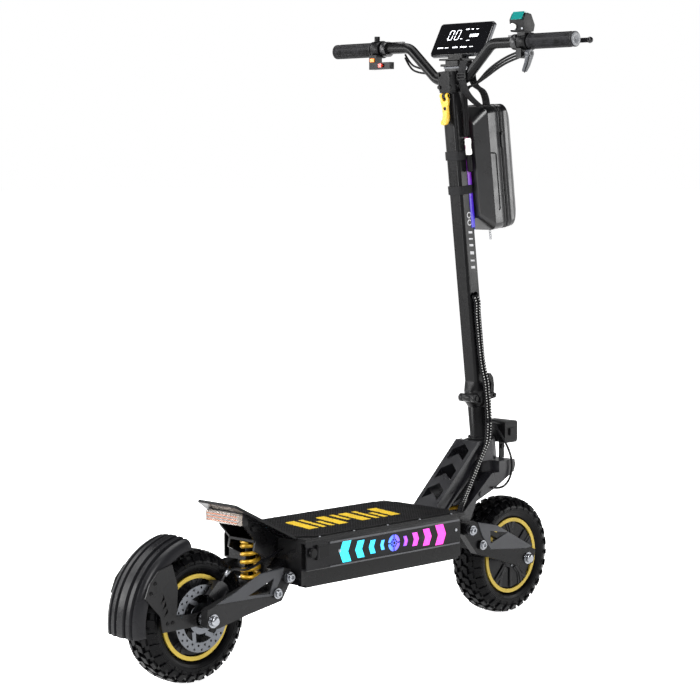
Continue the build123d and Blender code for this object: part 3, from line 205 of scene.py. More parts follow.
looks = {
    # Satin powder coat on aluminium: soft wide highlights with a faint orange peel
    "frame_black": surface("BlackPowderCoat", "#080809", 0.27, grain=1.6, bump=0.05, wear=0.35),
    "frame_grey": surface("GreyPowderCoat", "#131316", 0.31, grain=1.6, bump=0.05, wear=0.3,
                          gloss=0.3),
    "panel_grey": surface("PanelPowderCoat", "#0B0B0D", 0.29, grain=1.6, bump=0.04, wear=0.45),
    # Lit acrylic behind the panel: saturated colour that runs along the deck
    "light_strip": glow("LitAcrylic", [(0.0, "#10D8F0"), (1.0, "#FF2FB4"), (0.30, "#18C8F8"),
                                       (0.46, "#4A5CFF"), (0.56, "#8A3CF0"), (0.66, "#E030C8")],
                        -150, 190, 0.8),
    "cell_wrap": surface("ShrinkWrap", "#23508C", 0.35),
    "heatsink": surface("CastAluminium", "#8A8C90", 0.45, metallic=1.0),
    # Ground bearing steel: bright, slightly streaked
    "bearing_steel": surface("GroundSteel", "#B4B6BA", 0.28, metallic=1.0, vary=0.06),
    # Clear acrylic over an orange reflector: pale with a warm core
    "tail_lens": clear("ClearAcrylicLens", "#E8DACE", 0.05, 0.9),
    "bolt_steel": surface("ZincPlatedSteel", "#85878B", 0.30, metallic=1.0, vary=0.08, bump=0.02),
    # Moulded ABS with a spark-eroded grain: even, dull sheen
    "black_plastic": surface("BlackAbs", "#0B0B0C", 0.34, grain=0.8, bump=0.06),
    "cable_sleeve": surface("PvcSleeve", "#08080A", 0.34, grain=1.0, bump=0.05),
    "black_rubber": surface("MouldedRubber", "#0A0A0B", 0.48, grain=0.9, bump=0.06),
    "axle_steel": surface("TurnedSteel", "#85878B", 0.28, metallic=1.0, vary=0.08, bump=0.02),
    "caliper_black": surface("BlackAnodised", "#0F0F11", 0.30, metallic=0.2, bump=0.03, wear=0.3),
    # Ribbed polypropylene: dark grey, chalky in the light
    "fender_plastic": surface("Polypropylene", "#141416", 0.30, grain=0.9, bump=0.08, wear=0.2),
    # Gold paint over spring steel: bright, warm, half metallic
    "spring_gold": surface("GoldPaintedSteel", "#B28B22", 0.34, metallic=0.4, bump=0.03),
    # Dusty moulded rubber: nearly black, with pale handling marks
    "tyre_rubber": surface("TyreRubber", "#040405", 0.33, vary=0.22, grain=0.7, bump=0.08,
                           clouds=30, gloss=0.07),
    "hub_black": surface("CastHubPaint", "#08080A", 0.28, grain=1.8, bump=0.06, wear=0.35),
    "trim_gold": surface("GoldAnodised", "#97822E", 0.30, metallic=0.5, vary=0.06, bump=0.01),
    "rotor_steel": surface("StainlessDisc", "#5A5C60", 0.34, metallic=1.0, vary=0.10, bump=0.02),
    "clear_lens": clear("HeadlightLens", "#DDE6EE", 0.04, 0.7),
    "grip_rubber": surface("GripRubber", "#161618", 0.42, vary=0.75, spread=0.14, grain=1.0,
                           bump=0.14, clouds=16),
    "display_shell": surface("SatinAnodised", "#2C2D30", 0.30, metallic=0.6, vary=0.05),
    # Coated display glass: black mirror with a thin clear reflection
    "screen_glass": surface("DisplayGlass", "#060608", 0.07, spread=0.02, bump=0.0, coat=1.0),
    "teal_lens": clear("TealLens", "#14706C", 0.08, 0.25),
    "strap_webbing": woven("NylonWebbing", "#0B0B0D", 1.1),
    # Moulded EVA faced with coated cloth: glossy black with broad soft highlights
    "bag_shell_fabric": surface("EvaFacing", "#08080A", 0.30, grain=0.9, bump=0.04, gloss=0.42),
    "lever_grey": surface("GreyAbs", "#34363A", 0.40, grain=0.8, bump=0.05),
    "switch_red": surface("RedAbs", "#C03020", 0.30, bump=0.02, coat=0.2),
    "button_white": surface("WhiteAbs", "#E4E4DF", 0.38, bump=0.02),
    "hook_yellow": surface("YellowPowderCoat", "#B08C08", 0.40, bump=0.05, wear=0.3),
    "mat_rubber": surface("DeckRubber", "#0A0A0B", 0.58, vary=0.2, grain=0.9, bump=0.12),
}
printYellow = surface("YellowPrint", "#BC9C10", 0.55, vary=0.1, grain=0.9, bump=0.08)
bagSide = surface("EvaSide", "#09090B", 0.31, grain=0.9, bump=0.04, gloss=0.40)
dotWhite = surface("WhitePrint", "#A2A2A0", 0.4, bump=0.01)
ledStem = glow("LitStemStrip", [(0.0, "#1C109C"), (1.0, "#9A1444"), (0.3, "#361494"),
                                (0.7, "#701480")], 860, 1070, 0.25, axis=2)
screenWhite = glow("LitSegments", [(0.0, "#F4F8FF"), (1.0, "#F4F8FF")], 0, 1, 1.2)
orangeAbs = surface("OrangeAbs", "#E07A1C", 0.35, bump=0.02)
reflectOrange = surface("OrangeReflector", "#96502A", 0.2, bump=0.0, coat=0.6)
kickPrint = surface("RedPrint", "#7A2A26", 0.5, vary=0.3, bump=0.03)
# Gloss black under the pale arm faces, so the faces stand out
armBlack = surface("ArmPowderCoat", "#060607", 0.28, grain=1.6, bump=0.05, wear=0.2)
# Lighter grey on the side panel trims: a painted highlight along the top rail edge and the skirt
# ledge
trimHighlightGrey = surface("TrimPaintedHighlight", "#303135", 0.30, bump=0.02, gloss=0.4)
paleGrey = surface("GreyPrint", "#9A9A9C", 0.45, bump=0.01)
capGrey = surface("GreyEndCap", "#66686B", 0.42, bump=0.04)
print("stage: materials made")


# Shape helpers
def addObject(name, data):
    made = bpy.data.objects.new(name, data)
    bpy.context.collection.objects.link(made)
    return made


# Rounds the edges that turn by more than an angle.
def soften(made, name, width, degrees):
    bevel = made.modifiers.new(name, "BEVEL")
    bevel.width = width * mm
    bevel.segments = 2
    bevel.limit_method = "ANGLE"
    bevel.angle_limit = math.radians(degrees)
    bevel.harden_normals = True


# Makes a mesh from millimetre points, gives it its finish and puts it on a body.
def piece(name, points, faces, body, slot, material=None, smooth=True, rounding=0.0, spots=None):
    data = bpy.data.meshes.new(name)
    data.from_pydata([Vector(p) * mm for p in points], [], faces)
    data.materials.append(material or looks[slot])
    made = addObject(name, data)
    data.polygons.foreach_set("use_smooth", [smooth] * len(data.polygons))
    if spots:
        data.materials.append(spots[0])
        for k in spots[1]:
            data.polygons[k].material_index = 1
    if rounding:
        soften(made, "Rounding", rounding, 38)
    if body:
        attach(made, body)
    return made


# Points and faces gathered from several shapes.
class Mesh:
    def __init__(self):
        self.points, self.faces, self.marked = [], [], []

    def put(self, points, faces, mark=False):
        start = len(self.points)
        if mark:
            self.marked += range(len(self.faces), len(self.faces) + len(faces))
        self.points += [Vector(p) for p in points]
        self.faces += [[start + k for k in face] for face in faces]

    def make(self, name, body, slot, material=None, second=None, **extra):
        spots = (second, self.marked) if second else None
        return piece(name, self.points, self.faces, body, slot, material, spots=spots, **extra)


# A piece made of one shape.
def single(shape, name, body, slot, **extra):
    mesh = Mesh()
    mesh.put(*shape)
    return mesh.make(name, body, slot, **extra)


# Angles evenly round a circle.
def angles(count, offset=0):
    return [2 * math.pi * (k + offset) / count for k in range(count)]


def runAt(path, k):
    return (path[min(k + 1, len(path) - 1)] - path[max(k - 1, 0)]).normalized()


# Profile of a flat disc or ring for the lathe.
def disc(half, radius, core=0.1):
    return [(-half, core), (-half, radius), (half, radius), (half, core)]


# A place beside a wheel by its angle, its distance from the axle and its side.
def onWheel(x, turn, r, y):
    return Vector((x + r * math.cos(turn), y, axleZ + r * math.sin(turn)))


# Points and faces of a skin through loops of equal length.
def rings(loops, closed=False, caps=True):
    n = len(loops[0])
    points = [p for loop in loops for p in loop]
    faces = []
    pairs = list(zip(range(len(loops) - 1), range(1, len(loops))))
    if closed:
        pairs.append((len(loops) - 1, 0))
    for a, b in pairs:
        for k in range(n):
            m = (k + 1) % n
            faces.append([a * n + k, a * n + m, b * n + m, b * n + k])
    if caps and not closed:
        faces.append(list(range(n))[::-1])
        faces.append([(len(loops) - 1) * n + k for k in range(n)])
    return points, faces


# Turns (place along the axis, radius) pairs about an axis.
def lathe(profile, centre, axis, segments=64, closed=False):
    axis = Vector(axis).normalized()
    side = axis.orthogonal().normalized()
    other = axis.cross(side)
    loops = []
    for place, radius in profile:
        loops.append([Vector(centre) + axis * place
                      + (side * math.cos(turn) + other * math.sin(turn)) * radius
                      for turn in angles(segments)])
    return rings(loops, closed)


# A round or flattened bar along a path.
def tube(path, radius, sides=10, flat=1.0):
    path = [Vector(p) for p in path]
    side = (path[1] - path[0]).orthogonal().normalized()
    loops = []
    for k, here in enumerate(path):
        run = runAt(path, k)
        side = (side - run * side.dot(run)).normalized()
        other = run.cross(side)
        loops.append([here + side * math.cos(turn) * radius + other * math.sin(turn) * radius * flat
                      for turn in angles(sides)])
    return rings(loops)


# A plate from a flat outline on a plane, between two heights along its normal.
def slab(outline, origin, right, up, low, high):
    right, up = Vector(right).normalized(), Vector(up).normalized()
    out = right.cross(up)
    loops = [[Vector(origin) + right * a + up * b + out * level for a, b in outline]
             for level in (low, high)]
    return rings(loops)


def roundRect(width, height, radius, steps=5):
    corners = []
    for k, (a, b) in enumerate(((1, 1), (-1, 1), (-1, -1), (1, -1))):
        for j in range(steps + 1):
            turn = math.radians(90 * k + 90 * j / steps)
            corners.append((a * (width / 2 - radius) + radius * math.cos(turn),
                            b * (height / 2 - radius) + radius * math.sin(turn)))
    return corners


# Points along a smooth spline through the given control points, in millimetres.
def route(points, name="Route"):
    curve = bpy.data.curves.new(name, "CURVE")
    curve.dimensions = "3D"
    spline = curve.splines.new("NURBS")
    spline.points.add(len(points) - 1)
    for spot, p in zip(spline.points, points):
        spot.co = (*p, 1)
    spline.order_u = 3
    spline.use_endpoint_u = True
    curve.resolution_u = 10
    holder = bpy.data.objects.new(name, curve)
    data = bpy.data.meshes.new_from_object(holder)
    found = [v.co.copy() for v in data.vertices]
    bpy.data.objects.remove(holder)
    return found


# Points a fixed distance apart along a path.
def evenly(path, step):
    found, left = [path[0]], step
    for a, b in zip(path, path[1:]):
        run = (b - a).length
        while left <= run:
            found.append(a.lerp(b, left / run))
            left += step
        left -= run
    return found


# Carried-over CAD nodes: soft edges and their finish
nodeSlots = {s["node"]: s["material_slot"] for s in frame["record"]["subparts"]}
edgeWidth = {"frame_black": 0.9, "frame_grey": 1.2, "panel_grey": 0.5, "black_plastic": 0.9,
             "caliper_black": 0.8, "fender_plastic": 0.8, "hub_black": 0.7}
for node, obj in frame["nodes"].items():
    obj.data.materials.clear()
    obj.data.materials.append(armBlack if node.endswith("swingarm") else looks[nodeSlots[node]])
    weld = obj.modifiers.new("Weld", "WELD")
    weld.merge_threshold = 0.01 * mm
    soften(obj, "SoftEdges", edgeWidth.get(nodeSlots[node], 0.4), 35)
print("stage: frame finished")

# Tyres: carcass with side ribs and three rows of blocks each side
tyreSize = {"blocks": 30, "lift": 5.4, "segments": 120}
half = [(0, 124.2), (9, 124.0), (18, 122.9), (26, 120.6), (32.5, 116.2), (35.6, 110.5),
        (36.6, 105.5), (35.9, 104.6), (36.8, 103.4), (36.4, 98.0), (35.4, 97.2), (35.2, 95.6),
        (33.0, 90.5), (30.4, 87.0), (26.8, 84.4)]
profileRun = [0.0]
for (a, b), (c, d) in zip(half, half[1:]):
    profileRun.append(profileRun[-1] + math.hypot(c - a, d - b))


# A point on the tyre by its angle, its distance from the crown and its height.
def onTyre(x, turn, run, lift):
    way = -1 if run < 0 else 1
    run = abs(run)
    k = max(i for i in range(len(half) - 1) if profileRun[i] <= run)
    part = (run - profileRun[k]) / (profileRun[k + 1] - profileRun[k])
    (y0, r0), (y1, r1) = half[k], half[k + 1]
    size = math.hypot(y1 - y0, r1 - r0)
    y = y0 + (y1 - y0) * part + lift * (r0 - r1) / size
    r = r0 + (r1 - r0) * part + lift * (y1 - y0) / size
    return onWheel(x, turn, r, way * y)


# One tread block, narrower at its top.
def block(mesh, x, turn, run, width, length, skew, lift):
    step = 1 / 124
    loops = []
    for level, shrink in ((-1.0, 1.0), (lift * 0.55, 0.97), (lift, 0.86)):
        loop = []
        for a, b in ((-1, -1), (1, -1), (1, 1), (-1, 1)):
            loop.append(onTyre(x, turn + (b * length / 2 * shrink + skew * a) * step,
                               run + a * width / 2 * shrink, level))
        loops.append(loop)
    mesh.put(*rings(loops))


for end, x in (("rear", rearX), ("front", frontX)):
    tread = Mesh()
    ringLoops = []
    outer = [(-y, r) for y, r in half[::-1]] + half[1:]
    outer += [(22, 86), (22, 108), (-22, 108), (-22, 86)]
    for turn in angles(tyreSize["segments"]):
        ringLoops.append([onWheel(x, turn, r, y) for y, r in outer])
    tread.put(*rings(ringLoops, closed=True))
    pitch = 2 * math.pi / tyreSize["blocks"]
    for k in range(tyreSize["blocks"]):
        for way in (-1, 1):
            start = k * pitch + (0.25 * pitch if way > 0 else -0.25 * pitch)
            block(tread, x, start, way * 7.2, 12.0, 17.5, 2.2 * way, tyreSize["lift"])
            block(tread, x, start + 0.5 * pitch, way * 20.6, 11.0, 16.0, -2.0 * way,
                  tyreSize["lift"])
            block(tread, x, start, way * 35.0, 14.0, 15.0 if k % 2 else 11.0, 0, 5.0)
            block(tread, x, start, way * 45.5, 8.0, 9.0 if k % 2 else 5.5, 0, 1.4)
    made = tread.make(f"{end}KnobbyTyre", f"{end}_wheel", "tyre_rubber", smooth=False, rounding=0.8)
    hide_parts(f"{end}_tyre")
print("stage: tyres made")

# Hub covers: five forked spokes and a bolt ring
hubSize = {"spokes": 5, "turned": 0.25, "bolts": 6, "boltCircle": 22, "boltFace": 33}
spokeShape = [(-9, 30), (9, 30), (6, 50), (19, 75), (-19, 75), (-6, 50)]
forkShape = [(-4, 30), (4, 30), (2.5, 52), (11, 75), (5, 75), (0, 62), (-5, 75), (-11, 75),
             (-2.5, 52)]
boltHead = [(-0.5, 0.1), (-0.5, 2.6), (1.6, 2.6), (2.2, 1.9), (2.2, 1.3), (0.9, 1.2), (0.9, 0.1)]
for end, x, sides in (("rear", rearX, (1, -1)), ("front", frontX, (-1, 1))):
    cover = Mesh()
    bolts = Mesh()
    for side in sides:
        for turn in angles(hubSize["spokes"], hubSize["turned"]):
            up = Vector((math.cos(turn), 0, math.sin(turn)))
            right = up.cross(Vector((0, side, 0)))
            for outline, low, high in ((spokeShape, 26.5, 29.6), (forkShape, 29.4, 31.4)):
                cover.put(*slab(outline, (x, 0, axleZ), right, up, low, high))
        for turn in angles(hubSize["bolts"], 0.5):
            spot = onWheel(x, turn, hubSize["boltCircle"], side * hubSize["boltFace"])
            bolts.put(*lathe(boltHead, spot, (0, side, 0), 12))
    cover.make(f"{end}HubSpokes", f"{end}_wheel", "hub_black", smooth=False, rounding=0.7)
    bolts.make(f"{end}HubBolts", f"{end}_wheel", "bolt_steel", rounding=0.2)
print("stage: hubs made")

# Swing arm faces: pale bevelled triangles with a window, over the dark plates
faceGrey = surface("ArmFacePaint", "#2C2D30", 0.36, grain=1.6, bump=0.04, wear=0.15, gloss=0.22)
armFaceSize = {"back": 80.1, "front": 82.3}
armFaces = {"rear_arm": ([(-440, 160), (-386, 179), (-325, 205), (-262, 209), (-266, 196),
                          (-292, 156), (-330, 158)], [(-358, 166), (-290, 191), (-301, 161)]),
            "front_arm": ([(310, 230), (374, 216), (492, 154), (470, 152), (353, 165), (326, 196)],
                          [(350, 206), (410, 196), (352, 178)])}
for body, (outline, window) in armFaces.items():
    face = Mesh()
    for side in (-1, 1):
        base, top = side * armFaceSize["back"], side * armFaceSize["front"]
        middle = [sum(p[k] for p in window) / 3 for k in (0, 1)]
        n = len(outline)
        hole = []
        for k in range(n):
            # each outline corner looks to the window's nearest edge point
            best = min(((a[0] + (b[0] - a[0]) * t / 8, a[1] + (b[1] - a[1]) * t / 8)
                        for a, b in zip(window, window[1:] + window[:1]) for t in range(9)),
                       key=lambda q: math.hypot(q[0] - outline[k][0], q[1] - outline[k][1]))
            hole.append(best)
        loops = [[(x, y, z) for x, z in line] for line, y in
                 ((outline, base), ([(x + (middle[0] - x) * 0.02, z + (middle[1] - z) * 0.05)
                                     for x, z in outline], top), (hole, top), (hole, base))]
        face.put(*rings(loops, closed=True))
    face.make(f"{body}Faces", body, "frame_grey", material=faceGrey, smooth=False, rounding=0.4)
print("stage: arm faces made")

# Springs with flattened, closed end turns
springSize = {"wire": 4.2, "radius": 16.6, "turns": 5.6, "steps": 200}
for end, x, low, high, joint, keep, body in (
        ("rear", -276.5, 178.0, 256.0, "rear_suspension", 0.915, "chassis"),
        ("front", 317.5, 197.0, 262.0, "front_suspension", 0.875, "steering")):
    wire, radius, turns, steps = springSize.values()
    path = []
    for k in range(steps + 1):
        turn = turns * 2 * math.pi * k / steps
        part = k / steps
        rise = min(max((part - 0.11) / 0.78, 0), 1)
        z = low + wire + 0.6 * part + (high - low - 2 * wire - 0.8) * rise
        path.append((x + radius * math.cos(turn), radius * math.sin(turn), z))
    made = single(tube(path, wire, 12), f"{end}CoilSpring", body, "spring_gold")
    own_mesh(made)
    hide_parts(f"{end}_spring")
    size = high - low
    profile = [(0, 0.5), (0, 9.5), (3, 10), (size * 0.55, 10), (size * 0.55 + 1, 5), (size, 5),
               (size, 0.5)]
    made = single(lathe(profile, (x, 0, high), (0, 0, -1), 32), f"{end}DamperCore", body,
                  "black_rubber")
    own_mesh(made)
print("stage: springs made")

# Grips: ribbed sleeves with a pale end cap
gripSize = {"length": 118, "ribPitch": 3.4, "ribbed": 108}
for side, name in ((1, "left"), (-1, "right")):
    inner = barHalf - gripSize["length"]
    profile = [(0, 11.3), (0, 17.4), (1, 17.8), (3.2, 17.8), (4, 15.0)]
    place = 6.0
    while place < gripSize["ribbed"]:
        profile += [(place, 14.2), (place + 0.5, 15.5), (place + 1.9, 15.6), (place + 2.4, 14.2)]
        place += gripSize["ribPitch"]
    profile += [(111, 14.4), (112, 15.9), (116.2, 15.8), (116.8, 14.8), (116.8, 11.3)]
    sleeve = Mesh()
    sleeve.put(*lathe(profile, (barX, side * inner, gripZ), (0, side, 0), 56, closed=True))
    for turn in angles(6, 0.5):
        ribX, ribZ = barX + 15.2 * math.cos(turn), gripZ + 15.2 * math.sin(turn)
        sleeve.put(*tube([(ribX, side * (inner + a), ribZ) for a in (8, 56, 106)], 0.9, 6))
    made = sleeve.make(f"{name}Grip", "stem", "grip_rubber")
    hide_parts("bar_grips")
    profile = [(110, 0.1), (110, 10.9), (116.8, 10.9), (116.8, 14.4), (117.6, 14.2), (118, 13.4),
               (118, 4.2), (117.2, 3.8), (117.2, 0.1)]
    single(lathe(profile, (barX, side * inner, gripZ), (0, side, 0), 48), f"{name}GripCap", "stem",
           "grip_rubber", material=capGrey)
print("stage: grips made")

# Deck mat: studs over a printed rubber sheet
matSize = {"half": 111.0, "thick": 2.2, "studPitch": 7.2, "rows": 15, "slant": 0.22}
matRear, matFront = deckRear + 3, deckFront - 6
matHalf, matTop = matSize["half"], deckTop + matSize["thick"]
outline = [(matRear, -matHalf + 20), (matRear + 30, -matHalf), (matFront - 34, -matHalf),
           (matFront, -matHalf + 34), (matFront, matHalf - 34), (matFront - 34, matHalf),
           (matRear + 30, matHalf), (matRear, matHalf - 20)]
bars = [(-150, 26, -46, 46), (-112, 12, -46, 46), (-88, 12, -46, 10), (-64, 26, -46, 46),
        (-22, 12, -20, 46), (2, 26, -46, 46), (42, 12, -46, 46), (66, 12, -46, 10),
        (90, 26, -46, 46)]


# Whether a stud stands on one of the printed bars.
def printed(x, y):
    across = x - matSize["slant"] * y
    return any(a <= across <= a + w and low <= y <= high for a, w, low, high in bars)


mat = Mesh()
mat.put(*slab(outline, (0, 0, 0), (1, 0, 0), (0, 1, 0), deckTop + 0.05, matTop))
for a, w, low, high in bars:
    slant = matSize["slant"]
    corners = [(a + slant * low, low), (a + w + slant * low, low), (a + w + slant * high, high),
               (a + slant * high, high)]
    mat.put(*slab(corners, (0, 0, 0), (1, 0, 0), (0, 1, 0), matTop - 0.1, matTop + 0.12),
            mark=True)
pitch = matSize["studPitch"]
for i in range(int((matFront - matRear - 10) / pitch)):
    for j in range(-matSize["rows"], matSize["rows"] + 1):
        x, y = matRear + 8 + i * pitch, j * pitch
        if abs(y) > matHalf - 5 or x > matFront - 6:
            continue
        if x > matFront - 34 and abs(y) + x - matFront > matHalf - 40:
            continue
        if x < matRear + 30 and abs(y) > matHalf - 26 + (x - matRear) * 0.6:
            continue
        loops = [[(x + r * math.cos(t), y + r * math.sin(t), z) for t in angles(8)]
                 for r, z in ((2.1, matTop - 0.1), (1.9, matTop + 0.35), (1.2, matTop + 0.55))]
        mat.put(*rings(loops), mark=printed(x, y))
made = mat.make("StuddedDeckMat", "chassis", "mat_rubber", second=printYellow, smooth=False)
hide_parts("deck_mat")
print("stage: deck mat made")

# Bag: moulded hard shell in two halves with a zip between them
bag = {"corner": 17.0, "around": 120, "chamfer": 26, "nose": 22, "zipPitch": 2.6, "bead": 1.7}


# Outline of the bag across the stem at a distance in front of it.
def bagLoop(forward, grow=0.0):
    mid, reach = (bagLow + bagHigh) / 2, (bagHigh - bagLow) / 2
    back = max(0.0, 1 - (forward - bagBack) / bag["chamfer"])
    nose = max(0.0, (forward - (bagFront - bag["nose"])) / bag["nose"]) ** 1.3
    width = bagHalf - 1.2 - 20 * back - 13 * nose + grow
    height = reach - 0.8 - 30 * back - 20 * nose + grow
    corner = bag["corner"] - 6 * back
    loop = []
    outline = roundRect(2 * width, 2 * height, corner, bag["around"] // 4 - 1)
    for a, b in outline:
        shift = 0.0
        if nose and abs(a) < width - 4:
            shift = 2.2 * math.sin(b / 21) * nose
        loop.append(onStem(forward + min(shift, bagFront - forward), a, mid + b))
    return loop


def bagPart(name, places, body, nodes, material):
    made = Mesh()
    made.put(*rings([bagLoop(*place) for place in places]))
    obj = made.make(name, body, "bag_shell_fabric", material=material)
    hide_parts(*nodes)
    return obj


rearRun = [(bagBack + d, 0) for d in (0.0, 1.0, 9, 18, 25.2, 26, 26.8)]
rearRun += [(bagZip - d, g) for d, g in ((30, 0.2), (18, 0.3), (10, 0.3), (8.4, -1.2), (7.2, -1.2),
                                         (6, 0.6), (4, 0.8), (3, -0.8), (0.3, -1.2))]
frontRun = [(bagZip + d, g) for d, g in ((0.3, -1.2), (3, -0.8), (4, 0.8), (6, 0.6), (7.2, -1.2),
                                         (8.4, -1.2), (10, 0.3), (16, 0.2))]
frontRun += [(bagFront - 26 + 26 * k / 12, 0) for k in range(1, 13)]
bagPart("BagRearShell", rearRun, "stem", ["bag_shell"], bagSide)
bagPart("BagFrontShell", frontRun, "bag_cover", ["bag_lid"], looks["bag_shell_fabric"])

zipTeeth = Mesh()
loop = bagLoop(bagZip, -0.6)
for here in evenly(loop + loop[:1], bag["zipPitch"]):
    zipTeeth.put(*lathe(disc(1.3, 0.9), here, ahead, 6))
zipTeeth.make("BagZipTeeth", "stem", "black_plastic")

pocket = Mesh()
mid = (bagLow + bagHigh) / 2
beadRun = [(bagBack + 27, mid + 34), (bagBack + 40, mid + 32), (bagBack + 43, mid + 29),
           (bagBack + 43, mid - 88), (bagBack + 40, mid - 91)]
for side in (-1, 1):
    path = [onStem(f, side * (bagHalf - 1.0), s) for f, s in beadRun]
    pocket.put(*tube(path, bag["bead"], 8, 0.7))
pocket.make("BagPocketBead", "stem", "black_rubber")

pull = Mesh()
pullTop = onStem(bagZip, -bagHalf - 1.4, bagHigh - 62)
pull.put(*slab(roundRect(7, 30, 3), pullTop + along * -16, ahead, along, -0.9, 0.9))
pull.put(*lathe(disc(2.4, 3.4, 0.3), pullTop, (0, 1, 0), 16))
pull.make("BagZipPull", "stem", "black_plastic", rounding=0.4)
print("stage: bag made")


# Straps: two webbing bands over the bar and two round the stem
# Flat webbing along a path, with slightly raised edges.
def band(path, width, across, thick):
    across = Vector(across).normalized()
    path = [Vector(p) for p in path]
    section = ((-1, -0.8), (-0.94, -1), (0, -0.8), (0.94, -1), (1, -0.8), (1, 0.8), (0.94, 1),
               (0, 0.8), (-0.94, 1), (-1, 0.8))
    loops = []
    for k, here in enumerate(path):
        out = across.cross(runAt(path, k)).normalized()
        loops.append([here + across * a * width / 2 + out * b * thick / 2 for a, b in section])
    return rings(loops)


strapSize = {"wide": 20, "thick": 1.9, "side": -43, "bands": (86, 160)}
straps = Mesh()
topNear, topFar = onStem(bagBack + 14, 0, bagHigh + 1), onStem(bagBack + 34, 0, bagHigh + 1)
hanging = [(topNear.x, topNear.z)]
hanging += [(barLow.x + a, barLow.z + b)
            for a, b in ((12, -41), (-14, -12), (-15, 30), (0, 43), (16, 30), (20, -12))]
hanging += [(topFar.x - 4, topFar.z + 30), (topFar.x, topFar.z)]
path = route([(a, strapSize["side"], b) for a, b in hanging])
straps.put(*band(path, strapSize["wide"], (0, 1, 0), strapSize["thick"]))
for low in (bagLow + up for up in strapSize["bands"]):
    square = roundRect(40.2, 40.2, 7.6)
    path = [onStem(a, b, low + 9) for a, b in square]
    straps.put(*rings([[p + along * s + (p - onStem(0, 0, low + 9)).normalized() * g
                        for p in path] for s, g in ((-9, -0.9), (-9, 0.7), (-8.4, 0.9), (8.4, 0.9),
                                                    (9, 0.7), (9, -0.9))], closed=True))
    tab = [(20.2, -12), (bagBack - 0.2, -12), (bagBack - 0.2, 12), (20.2, 12)]
    straps.put(*rings([[onStem(a, b, low + s) for a, b in tab] for s in (0.5, 17.5)]))
made = straps.make("BagWebbing", "stem", "strap_webbing")
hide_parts("bag_straps")
buckle = Mesh()
spot = Vector((barLow.x - 15.6, strapSize["side"], barLow.z + 6))
for a, b, w, h in ((0, 6, 24, 2.2), (0, -6, 24, 2.2), (11, 0, 2.2, 14), (-11, 0, 2.2, 14),
                   (0, 0, 24, 1.8)):
    bar = roundRect(w, h, 0.8, 2)
    buckle.put(*slab(bar, spot + Vector((0, a, b)), (0, 1, 0), (0, 0, 1), -2.4, -0.2))
buckle.make("StrapBuckle", "stem", "black_plastic", rounding=0.3)
print("stage: straps made")

# Looms: sleeved cables in a spiral wrap with printed dots
loomSize = {"radius": 4.5, "wrapPitch": 6.5, "dotPitch": 6.0, "shifts": (-8, 2)}


def loomRoute(shift):
    exitAt = upStem(foldZ + 220)
    upper = [(shift, -18.65, exitAt), (shift, -27, exitAt - 9), (shift, -22.9, exitAt - 34),
             (shift, -23.2, exitAt - 80), (shift, -23.6, 90), (shift, -27, 55), (shift, -32, 34),
             (shift, -32.4, 12.4)]
    lower = [(shift, -32.6, -8), (shift - 1, -32.4, -32), (shift - 4, -34.5, -54),
             (shift - 10, -37.6, -70), (shift - 14.4, -38.3, -88)]
    down = []
    start = onStem(shift - 14.4, 0, -88)
    drop = -0.4 * shift
    for dx, y, dz in ((3, -38.5, 12), (24, -38.6, 41 + drop), (52, -40, 83 + drop),
                      (90, -50, 122 + drop), (128, -68, 149 + drop)):
        down.append(Vector((start.x - dx, y, start.z - dz)))
    down += [Vector((deckFront + 17, -84, deckTop - 18 - drop)),
             Vector((deckFront + 1, -85.2, deckTop - 19 - drop))]
    return [onStem(*p) for p in upper], [onStem(*p) for p in lower], down


# A cable with a spiral ribbon round it and dots along its outer side.
def wrapped(mesh, path, radius, pitch):
    mesh.put(*tube(path, radius - 0.9, 12))
    points = evenly(path, 0.7)
    side = Vector((0, 1, 0))
    spiral = []
    for k, here in enumerate(points):
        run = runAt(points, k)
        side = (side - run * side.dot(run)).normalized()
        turn = 2 * math.pi * k * 0.7 / pitch
        out = side * math.cos(turn) + run.cross(side) * math.sin(turn)
        spiral.append(here + out * (radius - 0.9))
    mesh.put(*tube(spiral, 1.3, 6))
    for here in evenly(path, loomSize["dotPitch"])[1:-1]:
        spot = here + Vector((-1.6, -(radius - 0.5), 0))
        dot = [(0, 0.1), (0, 1.4), (0.7, 1.1), (0.8, 0.1)]
        mesh.put(*lathe(dot, spot, (-0.4, -1, 0), 8), mark=True)


folding, turning = Mesh(), Mesh()
for shift in loomSize["shifts"]:
    upper, lower, down = loomRoute(shift)
    whole = evenly(route(upper + lower + down), 3.0)
    cut = min(range(len(whole)), key=lambda k: (whole[k] - lower[2]).length)
    wrapped(folding, whole[:cut + 1], loomSize["radius"], loomSize["wrapPitch"])
    wrapped(turning, whole[cut:], loomSize["radius"], loomSize["wrapPitch"])
upperLoom = folding.make("StemLooms", None, "cable_sleeve", second=dotWhite)
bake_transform(upperLoom)
lowerLoom = turning.make("NeckLooms", None, "cable_sleeve", second=dotWhite)
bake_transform(lowerLoom)
print("stage: looms made")

# Display: glass with lit segments, bars and marks
screenSize = {"wide": 149.4, "high": 78.4, "corner": 6.6, "lean": 29}
lean = math.radians(screenSize["lean"])
screenUp = Vector((math.sin(lean), 0, math.cos(lean)))
screenMid = Vector((barX + 17, 0, gripZ - 18.5)) + screenUp * 41
screenRight = Vector((0, -1, 0))
pane = roundRect(screenSize["wide"], screenSize["high"], screenSize["corner"])
made = single(slab(pane, screenMid, screenRight, screenUp, -2.2, 0.1), "DisplayGlassPanel", "stem",
              "screen_glass", rounding=0.5)
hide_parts("display_screen")
lit = Mesh()


# A lit bar on the display, leaning a little to the right.
def mark(a, b, width, height, slant=0.12):
    corners = [(a + i * width / 2 + j * slant * height / 2, b + j * height / 2)
               for i, j in ((-1, -1), (1, -1), (1, 1), (-1, 1))]
    lit.put(*slab(corners, screenMid, screenRight, screenUp, 0.12, 0.3))


